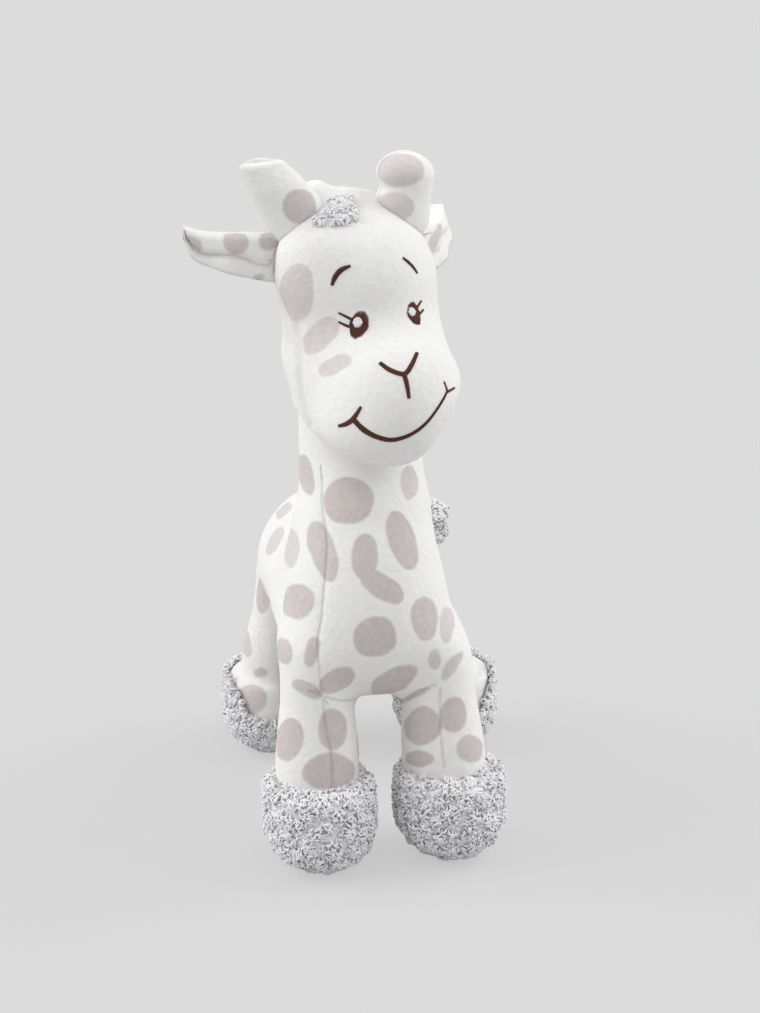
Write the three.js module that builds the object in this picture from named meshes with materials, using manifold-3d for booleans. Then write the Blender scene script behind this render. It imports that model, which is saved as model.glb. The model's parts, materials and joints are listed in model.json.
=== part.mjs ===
// A plush giraffe that stands on four legs, sewn from printed pile cloth and curly terry over soft stuffing.
// Millimetres, +Z up. The giraffe faces -Y, its left side is +X, and z = 0 is the surface that it stands on.
import * as THREE from "three";
import { mergeVertices } from "three/addons/utils/BufferGeometryUtils.js";
import Module from "manifold-3d";

const wasm = await Module();
wasm.setup();

const { degToRad } = THREE.MathUtils;

// Cloth and clearances
const pileCloth = 1.6; // short printed pile, with its backing
const terryCloth = 3.2; // curly terry, with its loops
const seamGap = 0.3; // between two sewn panels, and between cloth and stuffing
const swingSlack = degToRad(1.5); // room past each limit
const swingGap = 1.1; // between faceted forms that turn on each other
const hipGap = 1.2; // between a leg and its room in the trunk
const earGap = 0.7; // between an ear's gathered edge and its room in the head
const overrun = 5; // how far a cut runs past what it cuts
const reach = 400; // longer than the giraffe in every direction
const stitchRise = 1; // embroidery standing up from the cloth
const seamDepth = 8; // how far a limb's cloth runs into what it is sewn to
const floorCut = 0.5; // how much of each foot's round underside is flattened on the floor
const weldGap = 0.001; // corners closer than this are one corner

// Trunk, whose middle rises above the hips
const hipZ = 90;
const chestRise = 16.5;
const flankRise = 15;
const rumpRise = 13;
const trunkFrontY = -60;
const trunkRearY = 93;
const chestHalfWidth = 38.5;
const flankHalfWidth = 43.5;
const rumpHalfWidth = 40;
const chestHalfHeight = 38;
const flankHalfHeight = 35;
const rumpHalfHeight = 33;
const chestDome = 32;
const rumpDome = 55;
const chestEndShare = 0.3; // of the trunk's length, where the chest gives way to the flanks
const flankShare = 0.62; // where the flanks are widest
const chestPanelHalfWidth = 26;
const chestPanelRearY = -27;
const bellyPanelHalfWidth = 21;
const bellyPanelRearY = 58;

// Neck
const neckBaseRise = 46; // above the hips
const neckRise = 69; // of its top above its base
const neckBase = new THREE.Vector3(-1, -17, hipZ + neckBaseRise); // where the neck bends
const neckTop = new THREE.Vector3(-2.4, -6, neckBase.z + neckRise); // where the head turns
const neckRootRadius = 31;
const neckMiddleRadius = 28.4;
const neckTopRadius = 27.8;
const neckCollar = 33; // how far the round top of the neck reaches down below neckTop
const neckCrest = 19; // and how far up into the head
const neckPanelHalfWidth = 18;
const neckBendRange = degToRad(8);
const neckRootShare = 0.35; // of the neck's spine, where its root starts to taper
const neckMiddleShare = 0.46;
const neckTopShare = 0.56; // where the taper ends

// Head, in a frame of its own with its origin at neckTop
const headTurn = degToRad(11); // towards its left, as it rests
const headTilt = degToRad(-4);
const skullHalfWidth = 33.4;
const skullHalfDepth = 38;
const skullMidY = -3;
const skullBottomZ = -12;
const skullTopZ = 76;
const skullDome = 34;
const jawDome = 25;
const muzzleHalfWidth = 31;
const muzzleHalfHeight = 30;
const muzzleMidZ = 0.5;
const muzzleTipRise = 3;
const muzzleFrontY = -69;
const muzzleBackY = 0;
const muzzleDome = 34;
const muzzleBackDome = 17;
const facePanelHalfWidth = 23;
const facePanelBackY = -14;
const facePanelTopZ = 62;

// Horns
const hornLengths = { right: 33, left: 27 };
const hornRadius = 10.4;
const hornTipRadius = 11.6;
const hornTipDome = 7;
const hornSwellShare = 0.6; // of the horn's spine, where it starts to widen
const hornTipShare = 0.9; // where it is widest
const hornSpreads = { right: 18.5, left: 21.5 }; // from the head's middle to each horn's root
const hornRootY = -5;
const hornRootZ = 67;
const hornLeans = { right: degToRad(-31), left: degToRad(9) };
const hornBendRange = degToRad(10);

// Ears, folded lengthwise along the top
const earLength = 38.5;
const earHeight = 21; // from the fold down to the two rims
const earOpening = 6.5; // from the fold's middle out to each rim
const earCloth = 1.5; // one of the ear's two layers
const earBeadRadius = 4.2; // the gathered edge that is sewn into the head
const earBeadLength = 17;
const earLeastHalf = 0.4; // from the middle of the ear's tip out to either side of its fold
const earRootX = { right: 32.5, left: 34 };
const earRootY = 4;
const earRootZ = 52;
const earRises = { right: degToRad(22), left: degToRad(14) };
const earSweeps = { right: degToRad(10), left: degToRad(56) };

// Mane: a strip of terry over the forehead and crown, and down the back of the neck
const maneHalfWidth = 9.5;
const maneCrownX = -4; // of its middle on the crown, in the head's frame
const manePile = 4.2;
const maneFrontZ = 71; // on the forehead, in the head's frame
const maneCrownBackZ = 9; // at the back of the head, in the head's frame
const maneNeckDrop = 10; // from the top of the neck down to the strip's upper end
const maneNeckLength = 37;

// Tail
const tailRise = 22; // of its root above the hips
const tailBendDrop = 19; // from its root down to its bend
const tailTipDrop = 26; // from its root down to its lowest place, where the tuft starts
const tuftLength = 19;
const tailRoot = new THREE.Vector3(13, 86, hipZ + tailRise);
const tailRadius = 4.2;
const tailBend = new THREE.Vector3(34, 104, tailRoot.z - tailBendDrop);
const tailTip = new THREE.Vector3(46, 109, tailRoot.z - tailTipDrop);
const tuftTip = new THREE.Vector3(49, 113, tailTip.z + tuftLength);
const tuftRadius = 8;
const tailSwingRange = degToRad(12);

// Legs, each from its hip down to the sole
const legRootRadius = 15.6; // of the round root in the trunk
const legRadius = 17.8;
const ankleRadius = 18.4;
const footHalfWidth = 23.8;
const footHalfLength = 27;
const footSoleDome = 19;
const footCrownDome = 18;
const footCrownZ = 49; // where the foot's round top would close above the ankle
const ankleZ = 39.5; // the seam between the leg and the foot
const toeReach = 5; // how far the foot's middle lies ahead of the leg
const soleThickness = 5;
const thighShare = 0.42; // of the leg's spine, where it leaves the trunk and starts to widen
const kneeShare = 0.66;
const ankleShare = 0.9;
const footCrownShare = 0.55; // of the foot's height, where it starts to close in
const legSwingRange = degToRad(8);
const frontHipRise = 2; // of the front hips above the hind ones
const legPlaces = {
  front_right: { hip: [-26, -41, hipZ + frontHipRise], foot: [-26.5, -46], heading: degToRad(4) },
  front_left: { hip: [25.5, -39, hipZ + frontHipRise], foot: [30.5, -42], heading: degToRad(6) },
  hind_right: { hip: [-26.5, 56, hipZ], foot: [-32.5, 76], heading: degToRad(-14) },
  hind_left: { hip: [26.5, 56, hipZ], foot: [46, 69], heading: degToRad(14) },
};

// Embroidered face, in the head's frame: half sizes and the places of the middles
const eyeX = 11.6;
const eyeZ = 36;
const eyeHalfWidth = 4.6;
const eyeHalfHeight = 6.2;
const glintRadius = 2;
const glintZ = 36.7;
const browX = 13.5;
const browZ = 57;
const browRadius = 7.5;
const browThread = 1.9;
const browTilt = degToRad(29); // of a brow's middle, out from the top of its arc
const browHalfSweep = degToRad(34);
const noseZ = 17.5;
const noseArm = 7.6;
const noseRise = 3.4;
const noseStem = 10;
const noseThread = 2.1;
const mouthHalfWidth = 20.5;
const mouthZ = -8.5;
const mouthRise = 12.5;
const mouthThread = 2.4;

// Facets
const trunkSides = 18;
const trunkRings = 10;
const neckSides = 16;
const neckRings = 10;
const headSides = 16;
const headRings = 9;
const limbSides = 12;
const limbRings = 6;
const footRings = 6;
const smallSides = 8;
const socketSegments = 20;
const neckSocketSegments = 24;
const smallSocketSegments = 12;

const printedCloth = { color: 0xf3f2f0, roughness: 0.95 };
const whiteCloth = { color: 0xf6f6f4, roughness: 0.95 };
const greyTerry = { color: 0xc6c4c8, roughness: 1 };
const brownThread = { color: 0x4a241c, roughness: 0.6 };
const whiteThread = { color: 0xffffff, roughness: 0.6 };
const fibreFill = { color: 0xfafafa, roughness: 1 };

// Solids

function solidFrom(points, triangles, frame = new THREE.Matrix4()) {
  const placed = points.map((point) => point.clone().applyMatrix4(frame));
  return new wasm.Manifold(
    new wasm.Mesh({
      numProp: 3,
      vertProperties: new Float32Array(placed.flatMap((p) => [p.x, p.y, p.z])),
      triVerts: new Uint32Array(triangles.flat()),
    }),
  );
}

function solidOf(geometry, frame) {
  geometry.deleteAttribute("normal");
  geometry.deleteAttribute("uv");
  const merged = mergeVertices(geometry, weldGap);
  const positions = merged.getAttribute("position");
  const points = [];
  for (let i = 0; i < positions.count; i++) {
    points.push(new THREE.Vector3().fromBufferAttribute(positions, i));
  }
  const corners = Array.from(merged.index.array);
  const triangles = Array.from({ length: corners.length / 3 }, (_, i) => corners.slice(3 * i, 3 * i + 3));
  return solidFrom(points, triangles, frame);
}

function frameAt(place, ...turns) {
  const frame = new THREE.Matrix4().makeTranslation(place);
  for (const [axis, angle] of turns) frame.multiply(new THREE.Matrix4()[`makeRotation${axis}`](angle));
  return frame;
}

// The value of one column of a table of [share, value, value] rows, at a share between two of them.
function valueAt(rows, share, column) {
  const from = rows.findLast((row) => row[0] <= share) ?? rows[0];
  const to = rows.find((row) => row[0] >= share) ?? rows.at(-1);
  if (from === to) return to[column];
  return THREE.MathUtils.mapLinear(share, from[0], to[0], from[column], to[column]);
}

// A stuffed form: oval rings along a spine, which swell and taper as its girths say, with a dome at each end.
// Each girth is [share of the spine, half width along X, half depth]. The domes are given by their lengths.
// A form shrinks all over by its shrink, and flares by the tangents in its flare as it leaves its root.
function stuffedForm({ spine, girths, domes, sides, rings, shrink = 0, flare = [0, 0], frame }) {
  const curve = new THREE.CatmullRomCurve3(spine, false, "centripetal");
  const length = curve.getLength();
  const points = [];
  for (let ring = 0; ring <= rings; ring++) {
    const share = (1 - Math.cos((Math.PI * ring) / rings)) / 2;
    const distance = THREE.MathUtils.lerp(shrink, length - shrink, share);
    const inside = THREE.MathUtils.clamp(distance / length, 0, 1);
    const tangent = curve.getTangentAt(inside);
    const centre = curve.getPointAt(inside).addScaledVector(tangent, distance - inside * length);
    const across = new THREE.Vector3(1, 0, 0).addScaledVector(tangent, -tangent.x).normalize();
    const over = new THREE.Vector3().crossVectors(tangent, across);
    const fromEnds = [distance - shrink, length - shrink - distance];
    const dome = fromEnds.reduce((height, depth, end) => {
      const near = THREE.MathUtils.clamp(depth / Math.max(domes[end] - shrink, seamGap), 0, 1);
      return height * Math.sqrt(1 - (1 - near) ** 2);
    }, 1);
    const halves = [1, 2].map(
      (column) => (valueAt(girths, inside, column) - shrink + flare[column - 1] * inside * length) * dome,
    );
    const corners = ring === 0 || ring === rings ? 1 : sides;
    for (let side = 0; side < corners; side++) {
      const angle = (2 * Math.PI * side) / sides;
      const [out, up] = corners === 1 ? [0, 0] : [Math.cos(angle) * halves[0], Math.sin(angle) * halves[1]];
      points.push(centre.clone().addScaledVector(across, out).addScaledVector(over, up));
    }
  }
  const last = points.length - 1;
  const at = (ring, side) => 1 + (ring - 1) * sides + (side % sides);
  const triangles = [];
  for (let side = 0; side < sides; side++) {
    triangles.push([0, at(1, side + 1), at(1, side)]);
    triangles.push([last, at(rings - 1, side), at(rings - 1, side + 1)]);
    for (let ring = 1; ring < rings - 1; ring++) {
      triangles.push([at(ring, side), at(ring, side + 1), at(ring + 1, side + 1)]);
      triangles.push([at(ring, side), at(ring + 1, side + 1), at(ring + 1, side)]);
    }
  }
  return solidFrom(points, triangles, frame);
}

// The spine of a limb whose round root is centred on the place where it bends.
function limbSpine(root, rootRadius, ...path) {
  const back = path[0].clone().sub(root).setLength(-rootRadius);
  return [root.clone().add(back), root, ...path];
}

// A round socket, with its facets round the X axis that its limb bends on.
function socket(radius, frame, segments = socketSegments) {
  return solidOf(new THREE.SphereGeometry(radius, segments, segments / 2).rotateZ(Math.PI / 2), frame);
}

function boxBetween(low, high, frame = new THREE.Matrix4()) {
  const size = high.map((value, axis) => value - low[axis]);
  const box = new THREE.BoxGeometry(...size);
  box.translate(...low.map((value, axis) => value + size[axis] / 2));
  return solidOf(box, frame);
}

// Everything between two heights
const layer = (lowZ, highZ) => boxBetween([-reach, -reach, lowZ], [reach, reach, highZ]);

// Everything on one side of a seam that runs down the middle
const signs = { right: -1, left: 1 };
const halfOf = (side, middle, frame) =>
  signs[side] > 0
    ? boxBetween([middle + seamGap / 2, -reach, -reach], [reach, reach, reach], frame)
    : boxBetween([-reach, -reach, -reach], [middle - seamGap / 2, reach, reach], frame);

// A flat outline pushed through the front of the head.
function throughFace(outline, frame) {
  const plate = new THREE.ExtrudeGeometry(outline, { depth: reach, bevelEnabled: false });
  return solidOf(plate.rotateX(Math.PI / 2), frame);
}

// A band of even width along a curve in the face's plane.
function bandAlong(points, halfWidth, steps) {
  const curve = new THREE.SplineCurve(points);
  const edges = [1, -1].map((edge) =>
    Array.from({ length: steps + 1 }, (_, i) => {
      const tangent = curve.getTangent(i / steps);
      const across = new THREE.Vector2(-tangent.y, tangent.x).multiplyScalar(edge * halfWidth);
      return curve.getPoint(i / steps).add(across);
    }),
  );
  return new THREE.Shape([...edges[0], ...edges[1].reverse()]);
}

// The largest body of a solid, without slivers that a cut leaves beside it.
function largest(solid) {
  const bodies = solid.decompose();
  return bodies.reduce((most, body) => (body.volume() > most.volume() ? body : most));
}

// Scene graph: a group for each body that moves, with its origin where that body turns

const giraffe = new THREE.Group();

function bodyGroup(parent, frame) {
  const group = new THREE.Group();
  parent.updateWorldMatrix(true, false);
  const local = parent.matrixWorld.clone().invert().multiply(frame);
  local.decompose(group.position, group.quaternion, group.scale);
  parent.add(group);
  group.updateWorldMatrix(true, false);
  return group;
}

function addPiece(group, name, solid, finish) {
  const { vertProperties, triVerts } = largest(solid).getMesh();
  const geometry = new THREE.BufferGeometry();
  geometry.setAttribute("position", new THREE.BufferAttribute(new Float32Array(vertProperties), 3));
  geometry.setIndex(Array.from(triVerts));
  geometry.applyMatrix4(group.matrixWorld.clone().invert());
  const mesh = new THREE.Mesh(geometry, new THREE.MeshStandardMaterial({ ...finish, metalness: 0 }));
  mesh.name = name;
  group.add(mesh);
}

// Forms

const trunkForm = (shrink) =>
  stuffedForm({
    spine: [
      new THREE.Vector3(0, trunkFrontY, hipZ + chestRise),
      new THREE.Vector3(0, neckBase.y, hipZ + chestRise),
      new THREE.Vector3(0, bellyPanelRearY / 2, hipZ + flankRise),
      new THREE.Vector3(0, trunkRearY, hipZ + rumpRise),
    ],
    girths: [
      [0, chestHalfWidth, chestHalfHeight],
      [chestEndShare, chestHalfWidth, chestHalfHeight],
      [flankShare, flankHalfWidth, flankHalfHeight],
      [1, rumpHalfWidth, rumpHalfHeight],
    ],
    domes: [chestDome, rumpDome],
    sides: trunkSides,
    rings: trunkRings,
    shrink,
  });

const neckThroat = new THREE.Vector3(neckTop.x, neckTop.y, neckTop.z - neckCollar);
const neckCrown = new THREE.Vector3(neckTop.x, neckTop.y, neckTop.z + neckCrest);
const neckGirths = [
  [0, neckRootRadius, neckRootRadius],
  [neckRootShare, neckRootRadius, neckRootRadius],
  [neckMiddleShare, neckMiddleRadius, neckMiddleRadius],
  [neckTopShare, neckTopRadius, neckTopRadius],
];

const neckForm = (shrink) =>
  stuffedForm({
    spine: [...limbSpine(neckBase, neckRootRadius, neckThroat), neckTop, neckCrown],
    girths: neckGirths,
    domes: [neckRootRadius, neckCrest],
    sides: neckSides,
    rings: neckRings,
    shrink,
  });

// The room that the neck bends in
const neckRoom = socket(neckRootRadius + swingGap, frameAt(neckBase), neckSocketSegments).add(
  stuffedForm({
    spine: [neckBase, neckThroat],
    girths: [[0, neckRootRadius, neckRootRadius]],
    domes: [swingGap, swingGap],
    sides: neckSides,
    rings: neckRings,
    shrink: -swingGap,
    flare: [0, Math.tan(neckBendRange + swingSlack)],
  }),
);

// The room in the head that the round top of the neck turns in
function turnRoom() {
  const radius = neckTopRadius + swingGap;
  const crest = neckCrest + swingGap;
  const dome = Array.from({ length: neckRings }, (_, i) => {
    const angle = (Math.PI / 2) * (i / (neckRings - 1));
    return new THREE.Vector2(i === neckRings - 1 ? 0 : radius * Math.cos(angle), crest * Math.sin(angle));
  });
  const bottom = -neckCollar - overrun;
  const profile = [new THREE.Vector2(0, bottom), new THREE.Vector2(radius, bottom), ...dome];
  return solidOf(new THREE.LatheGeometry(profile, neckSocketSegments).rotateX(Math.PI / 2), frameAt(neckTop));
}

const headFrame = frameAt(neckTop, ["Z", headTurn], ["Y", headTilt]);

const headForm = (shrink) =>
  stuffedForm({
    spine: [new THREE.Vector3(0, skullMidY, skullBottomZ), new THREE.Vector3(0, skullMidY, skullTopZ)],
    girths: [[0, skullHalfWidth, skullHalfDepth]],
    domes: [jawDome, skullDome],
    sides: headSides,
    rings: headRings,
    shrink,
    frame: headFrame,
  }).add(
    stuffedForm({
      spine: [
        new THREE.Vector3(0, muzzleBackY, muzzleMidZ),
        new THREE.Vector3(0, muzzleFrontY, muzzleMidZ + muzzleTipRise),
      ],
      girths: [
        [0, muzzleHalfWidth, muzzleHalfHeight],
        [1, muzzleHalfWidth, muzzleHalfHeight],
      ],
      domes: [muzzleBackDome, muzzleDome],
      sides: headSides,
      rings: headRings,
      shrink,
      frame: headFrame,
    }),
  );

// Torso

const torso = bodyGroup(giraffe, new THREE.Matrix4());

const legGirths = [
  [0, legRootRadius, legRootRadius],
  [thighShare, legRootRadius, legRootRadius],
  [kneeShare, legRadius, legRadius],
  [ankleShare, ankleRadius, ankleRadius],
];
const legRoot = ({ hip }) => new THREE.Vector3(...hip);
const legEnd = ({ foot }) => new THREE.Vector3(...foot, ankleZ - legRadius);

const legForm = (place, shrink) =>
  stuffedForm({
    spine: limbSpine(legRoot(place), legRootRadius, legEnd(place)),
    girths: legGirths,
    domes: [legRootRadius, hipGap],
    sides: limbSides,
    rings: limbRings,
    shrink,
  });

// The room that a leg swings in
const legRoom = (place) =>
  socket(legRootRadius + hipGap, frameAt(legRoot(place))).add(
    stuffedForm({
      spine: [legRoot(place), legEnd(place)],
      girths: legGirths,
      domes: [hipGap, hipGap],
      sides: limbSides,
      rings: limbRings,
      shrink: -hipGap,
      flare: [0, Math.tan(legSwingRange + swingSlack)],
    }),
  );

const tailForm = (shrink) =>
  stuffedForm({
    spine: [...limbSpine(tailRoot, tailRadius, tailBend), tailTip],
    girths: [[0, tailRadius, tailRadius]],
    domes: [tailRadius, tailRadius],
    sides: smallSides,
    rings: limbRings,
    shrink,
  });

// The room that the tail swings in, with its facets round Z
const upright = ["Y", Math.PI / 2];
const tailRoom = socket(tailRadius + swingGap, frameAt(tailRoot, upright), smallSocketSegments).add(
  stuffedForm({
    spine: [tailRoot, tailBend],
    girths: [[0, tailRadius, tailRadius]],
    domes: [swingGap, swingGap],
    sides: smallSides,
    rings: limbRings,
    shrink: -swingGap,
    flare: [Math.tan(tailSwingRange + swingSlack), 0],
  }),
);

const torsoRooms = Object.values(legPlaces)
  .map(legRoom)
  .reduce((all, room) => all.add(room), neckRoom.add(tailRoom));
const torsoCloth = trunkForm(0).subtract(trunkForm(pileCloth)).subtract(torsoRooms);

const chestRegion = (grow) =>
  boxBetween(
    [-chestPanelHalfWidth - grow, -reach, -reach],
    [chestPanelHalfWidth + grow, chestPanelRearY + grow, reach],
  );
const bellyRegion = (grow) =>
  boxBetween(
    [-bellyPanelHalfWidth - grow, chestPanelRearY + seamGap - grow, -reach],
    [bellyPanelHalfWidth + grow, bellyPanelRearY + grow, hipZ],
  );

addPiece(torso, "torso_stuffing", trunkForm(pileCloth + seamGap).subtract(torsoRooms), fibreFill);
addPiece(torso, "chest_panel", torsoCloth.intersect(chestRegion(0)), printedCloth);
addPiece(torso, "belly_panel", torsoCloth.intersect(bellyRegion(0)), printedCloth);
const torsoSides = torsoCloth.subtract(chestRegion(seamGap)).subtract(bellyRegion(seamGap));
for (const side in signs) {
  addPiece(torso, `torso_panel_${side}`, torsoSides.intersect(halfOf(side, 0)), printedCloth);
}

// Tail

const tail = bodyGroup(torso, frameAt(tailRoot));
const tuftForm = stuffedForm({
  spine: [tailTip, tuftTip],
  girths: [
    [0, tuftRadius, tuftRadius],
    [1, tuftRadius, tuftRadius],
  ],
  domes: [tuftRadius, tuftRadius],
  sides: smallSides,
  rings: limbRings,
});
addPiece(tail, "tail_stem", tailForm(0), printedCloth);
addPiece(tail, "tail_tuft", tuftForm.subtract(tailForm(-seamGap)), greyTerry);

// Neck

const neck = bodyGroup(torso, frameAt(neckBase));
const neckCloth = neckForm(0)
  .subtract(neckForm(pileCloth))
  .subtract(trunkForm(seamDepth))
  .subtract(headForm(seamDepth));
const throatRegion = (grow) =>
  boxBetween(
    [neckTop.x - neckPanelHalfWidth - grow, -reach, -reach],
    [neckTop.x + neckPanelHalfWidth + grow, neckBase.y + grow, reach],
  );
addPiece(neck, "neck_stuffing", neckForm(pileCloth + seamGap), fibreFill);
addPiece(neck, "neck_panel_front", neckCloth.intersect(throatRegion(0)), printedCloth);
const neckSidePanels = neckCloth.subtract(throatRegion(seamGap));
for (const side in signs) {
  addPiece(neck, `neck_panel_${side}`, neckSidePanels.intersect(halfOf(side, neckTop.x)), printedCloth);
}

const neckManeTopZ = neckTop.z - maneNeckDrop;
const neckManeRegion = boxBetween(
  [neckTop.x - maneHalfWidth, neckTop.y, neckManeTopZ - maneNeckLength],
  [neckTop.x + maneHalfWidth, reach, neckManeTopZ],
);
const neckMane = neckForm(-manePile).subtract(neckForm(-seamGap)).intersect(neckManeRegion);
addPiece(neck, "mane_neck", neckMane, greyTerry);

// Head

const head = bodyGroup(neck, headFrame);

const hornFrames = {};
const hornGirths = [
  [0, hornRadius, hornRadius],
  [hornSwellShare, hornRadius, hornRadius],
  [hornTipShare, hornTipRadius, hornTipRadius],
];
const hornTip = (side) => new THREE.Vector3(0, 0, hornLengths[side]);

const hornForm = (side, shrink) =>
  stuffedForm({
    spine: limbSpine(new THREE.Vector3(), hornRadius, hornTip(side)),
    girths: hornGirths,
    domes: [hornRadius, hornTipDome],
    sides: limbSides,
    rings: limbRings,
    shrink,
    frame: hornFrames[side],
  });

// The room that a horn bends in, with its facets round Y
const hornRoom = (side) =>
  socket(
    hornRadius + swingGap,
    hornFrames[side].clone().multiply(frameAt(new THREE.Vector3(), ["Z", Math.PI / 2])),
    smallSocketSegments,
  ).add(
    stuffedForm({
      spine: [new THREE.Vector3(), hornTip(side)],
      girths: [[0, hornRadius, hornRadius]],
      domes: [swingGap, swingGap],
      sides: limbSides,
      rings: limbRings,
      shrink: -swingGap,
      flare: [Math.tan(hornBendRange + swingSlack), 0],
      frame: hornFrames[side],
    }),
  );

const earFrames = {};
const earRooms = [];

function bead(grow, frame) {
  const radius = earBeadRadius + grow;
  const cylinder = new THREE.CylinderGeometry(radius, radius, earBeadLength + 2 * grow, smallSides);
  return solidOf(cylinder.rotateX(Math.PI / 2), frame);
}

for (const [side, sign] of Object.entries(signs)) {
  const hornPlace = new THREE.Vector3(sign * hornSpreads[side], hornRootY, hornRootZ);
  hornFrames[side] = headFrame.clone().multiply(frameAt(hornPlace, ["Y", hornLeans[side]]));
  const outward = sign > 0 ? earSweeps.left : Math.PI - earSweeps.right;
  const earPlace = new THREE.Vector3(sign * earRootX[side], earRootY, earRootZ);
  earFrames[side] = headFrame.clone().multiply(frameAt(earPlace, ["Z", outward]));
  earRooms.push(bead(earGap, earFrames[side]));
}

const headRooms = [...Object.keys(signs).map(hornRoom), ...earRooms].reduce(
  (all, room) => all.add(room),
  turnRoom(),
);
const headCloth = headForm(0).subtract(headForm(pileCloth)).subtract(headRooms);
const faceRegion = (grow) =>
  boxBetween(
    [-facePanelHalfWidth - grow, -reach, -reach],
    [facePanelHalfWidth + grow, facePanelBackY + grow, facePanelTopZ + grow],
    headFrame,
  );
addPiece(head, "head_stuffing", headForm(pileCloth + seamGap).subtract(headRooms), fibreFill);
addPiece(head, "face_panel", headCloth.intersect(faceRegion(0)), whiteCloth);
const headSidePanels = headCloth.subtract(faceRegion(seamGap));
for (const side in signs) {
  addPiece(head, `head_panel_${side}`, headSidePanels.intersect(halfOf(side, 0, headFrame)), printedCloth);
}

const crownManeX = [maneCrownX - maneHalfWidth, maneCrownX + maneHalfWidth];
const crownManeRegion = boxBetween(
  [crownManeX[0], -reach, maneFrontZ],
  [crownManeX[1], skullMidY, reach],
  headFrame,
).add(boxBetween([crownManeX[0], skullMidY - seamGap, maneCrownBackZ], [crownManeX[1], reach, reach], headFrame));
const crownMane = headForm(-manePile)
  .subtract(headForm(-seamGap))
  .intersect(crownManeRegion)
  .subtract(headRooms);
addPiece(head, "mane_crown", crownMane, greyTerry);

// Embroidery, standing up from the cloth of the face

const stitches = headForm(-stitchRise).subtract(headForm(-seamGap));
const stitched = (outline) => stitches.intersect(throughFace(outline, headFrame));

function ovalOutline(x, z, halfWidth, halfHeight) {
  const oval = new THREE.EllipseCurve(x, z, halfWidth, halfHeight, 0, 2 * Math.PI);
  return new THREE.Shape(oval.getPoints(limbSides).slice(1));
}

for (const [side, sign] of Object.entries(signs)) {
  const eye = stitched(ovalOutline(sign * eyeX, eyeZ, eyeHalfWidth, eyeHalfHeight));
  const glintOutline = (radius) => ovalOutline(sign * eyeX, glintZ, radius, radius);
  const glintHole = throughFace(glintOutline(glintRadius + seamGap), headFrame);
  addPiece(head, `eye_${side}`, eye.subtract(glintHole), brownThread);
  addPiece(head, `eye_glint_${side}`, stitched(glintOutline(glintRadius)), whiteThread);
  const browPoints = [-1, 0, 1].map((step) => {
    const angle = Math.PI / 2 - sign * browTilt + step * browHalfSweep;
    return new THREE.Vector2(
      sign * browX + browRadius * Math.cos(angle),
      browZ - browRadius + browRadius * Math.sin(angle),
    );
  });
  addPiece(head, `brow_${side}`, stitched(bandAlong(browPoints, browThread / 2, smallSides)), brownThread);
}

const noseMiddle = new THREE.Vector2(0, noseZ);
const noseArms = [
  new THREE.Vector2(-noseArm, noseZ + noseRise),
  noseMiddle,
  new THREE.Vector2(noseArm, noseZ + noseRise),
];
const noseDown = [noseMiddle, new THREE.Vector2(0, noseZ - noseStem)];
const nose = stitched(bandAlong(noseArms, noseThread / 2, smallSides)).add(
  stitched(bandAlong(noseDown, noseThread / 2, 1)),
);
addPiece(head, "nose", nose, brownThread);

const mouthShares = [-1, -0.5, 0, 0.5, 1];
const mouthPoints = mouthShares.map(
  (share) => new THREE.Vector2(share * mouthHalfWidth, mouthZ + mouthRise * share * share),
);
addPiece(head, "mouth", stitched(bandAlong(mouthPoints, mouthThread / 2, limbSides)), brownThread);

// Horns

for (const side in signs) {
  const horn = bodyGroup(head, hornFrames[side]);
  const hornCloth = hornForm(side, 0).subtract(hornForm(side, pileCloth)).subtract(headForm(seamDepth));
  const front = boxBetween([-reach, -reach, -reach], [reach, -seamGap / 2, reach], hornFrames[side]);
  const back = boxBetween([-reach, seamGap / 2, -reach], [reach, reach, reach], hornFrames[side]);
  addPiece(horn, `horn_${side}_stuffing`, hornForm(side, pileCloth + seamGap), fibreFill);
  addPiece(horn, `horn_${side}_front_panel`, hornCloth.intersect(front), printedCloth);
  addPiece(horn, `horn_${side}_back_panel`, hornCloth.intersect(back), printedCloth);
}

// Ears

const earLengthShares = [0, 0.14, 0.32, 0.6, 0.84, 0.96, 1];
const earHeightShares = [0.96, 1, 0.96, 0.74, 0.56, 0.44, 0.2];
const earOpeningShares = [0.1, 0.5, 0.88, 0.95, 0.7, 0.45, 0.2];
const earFoldShares = [-1, -0.6, 0, 0.6, 1];

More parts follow.
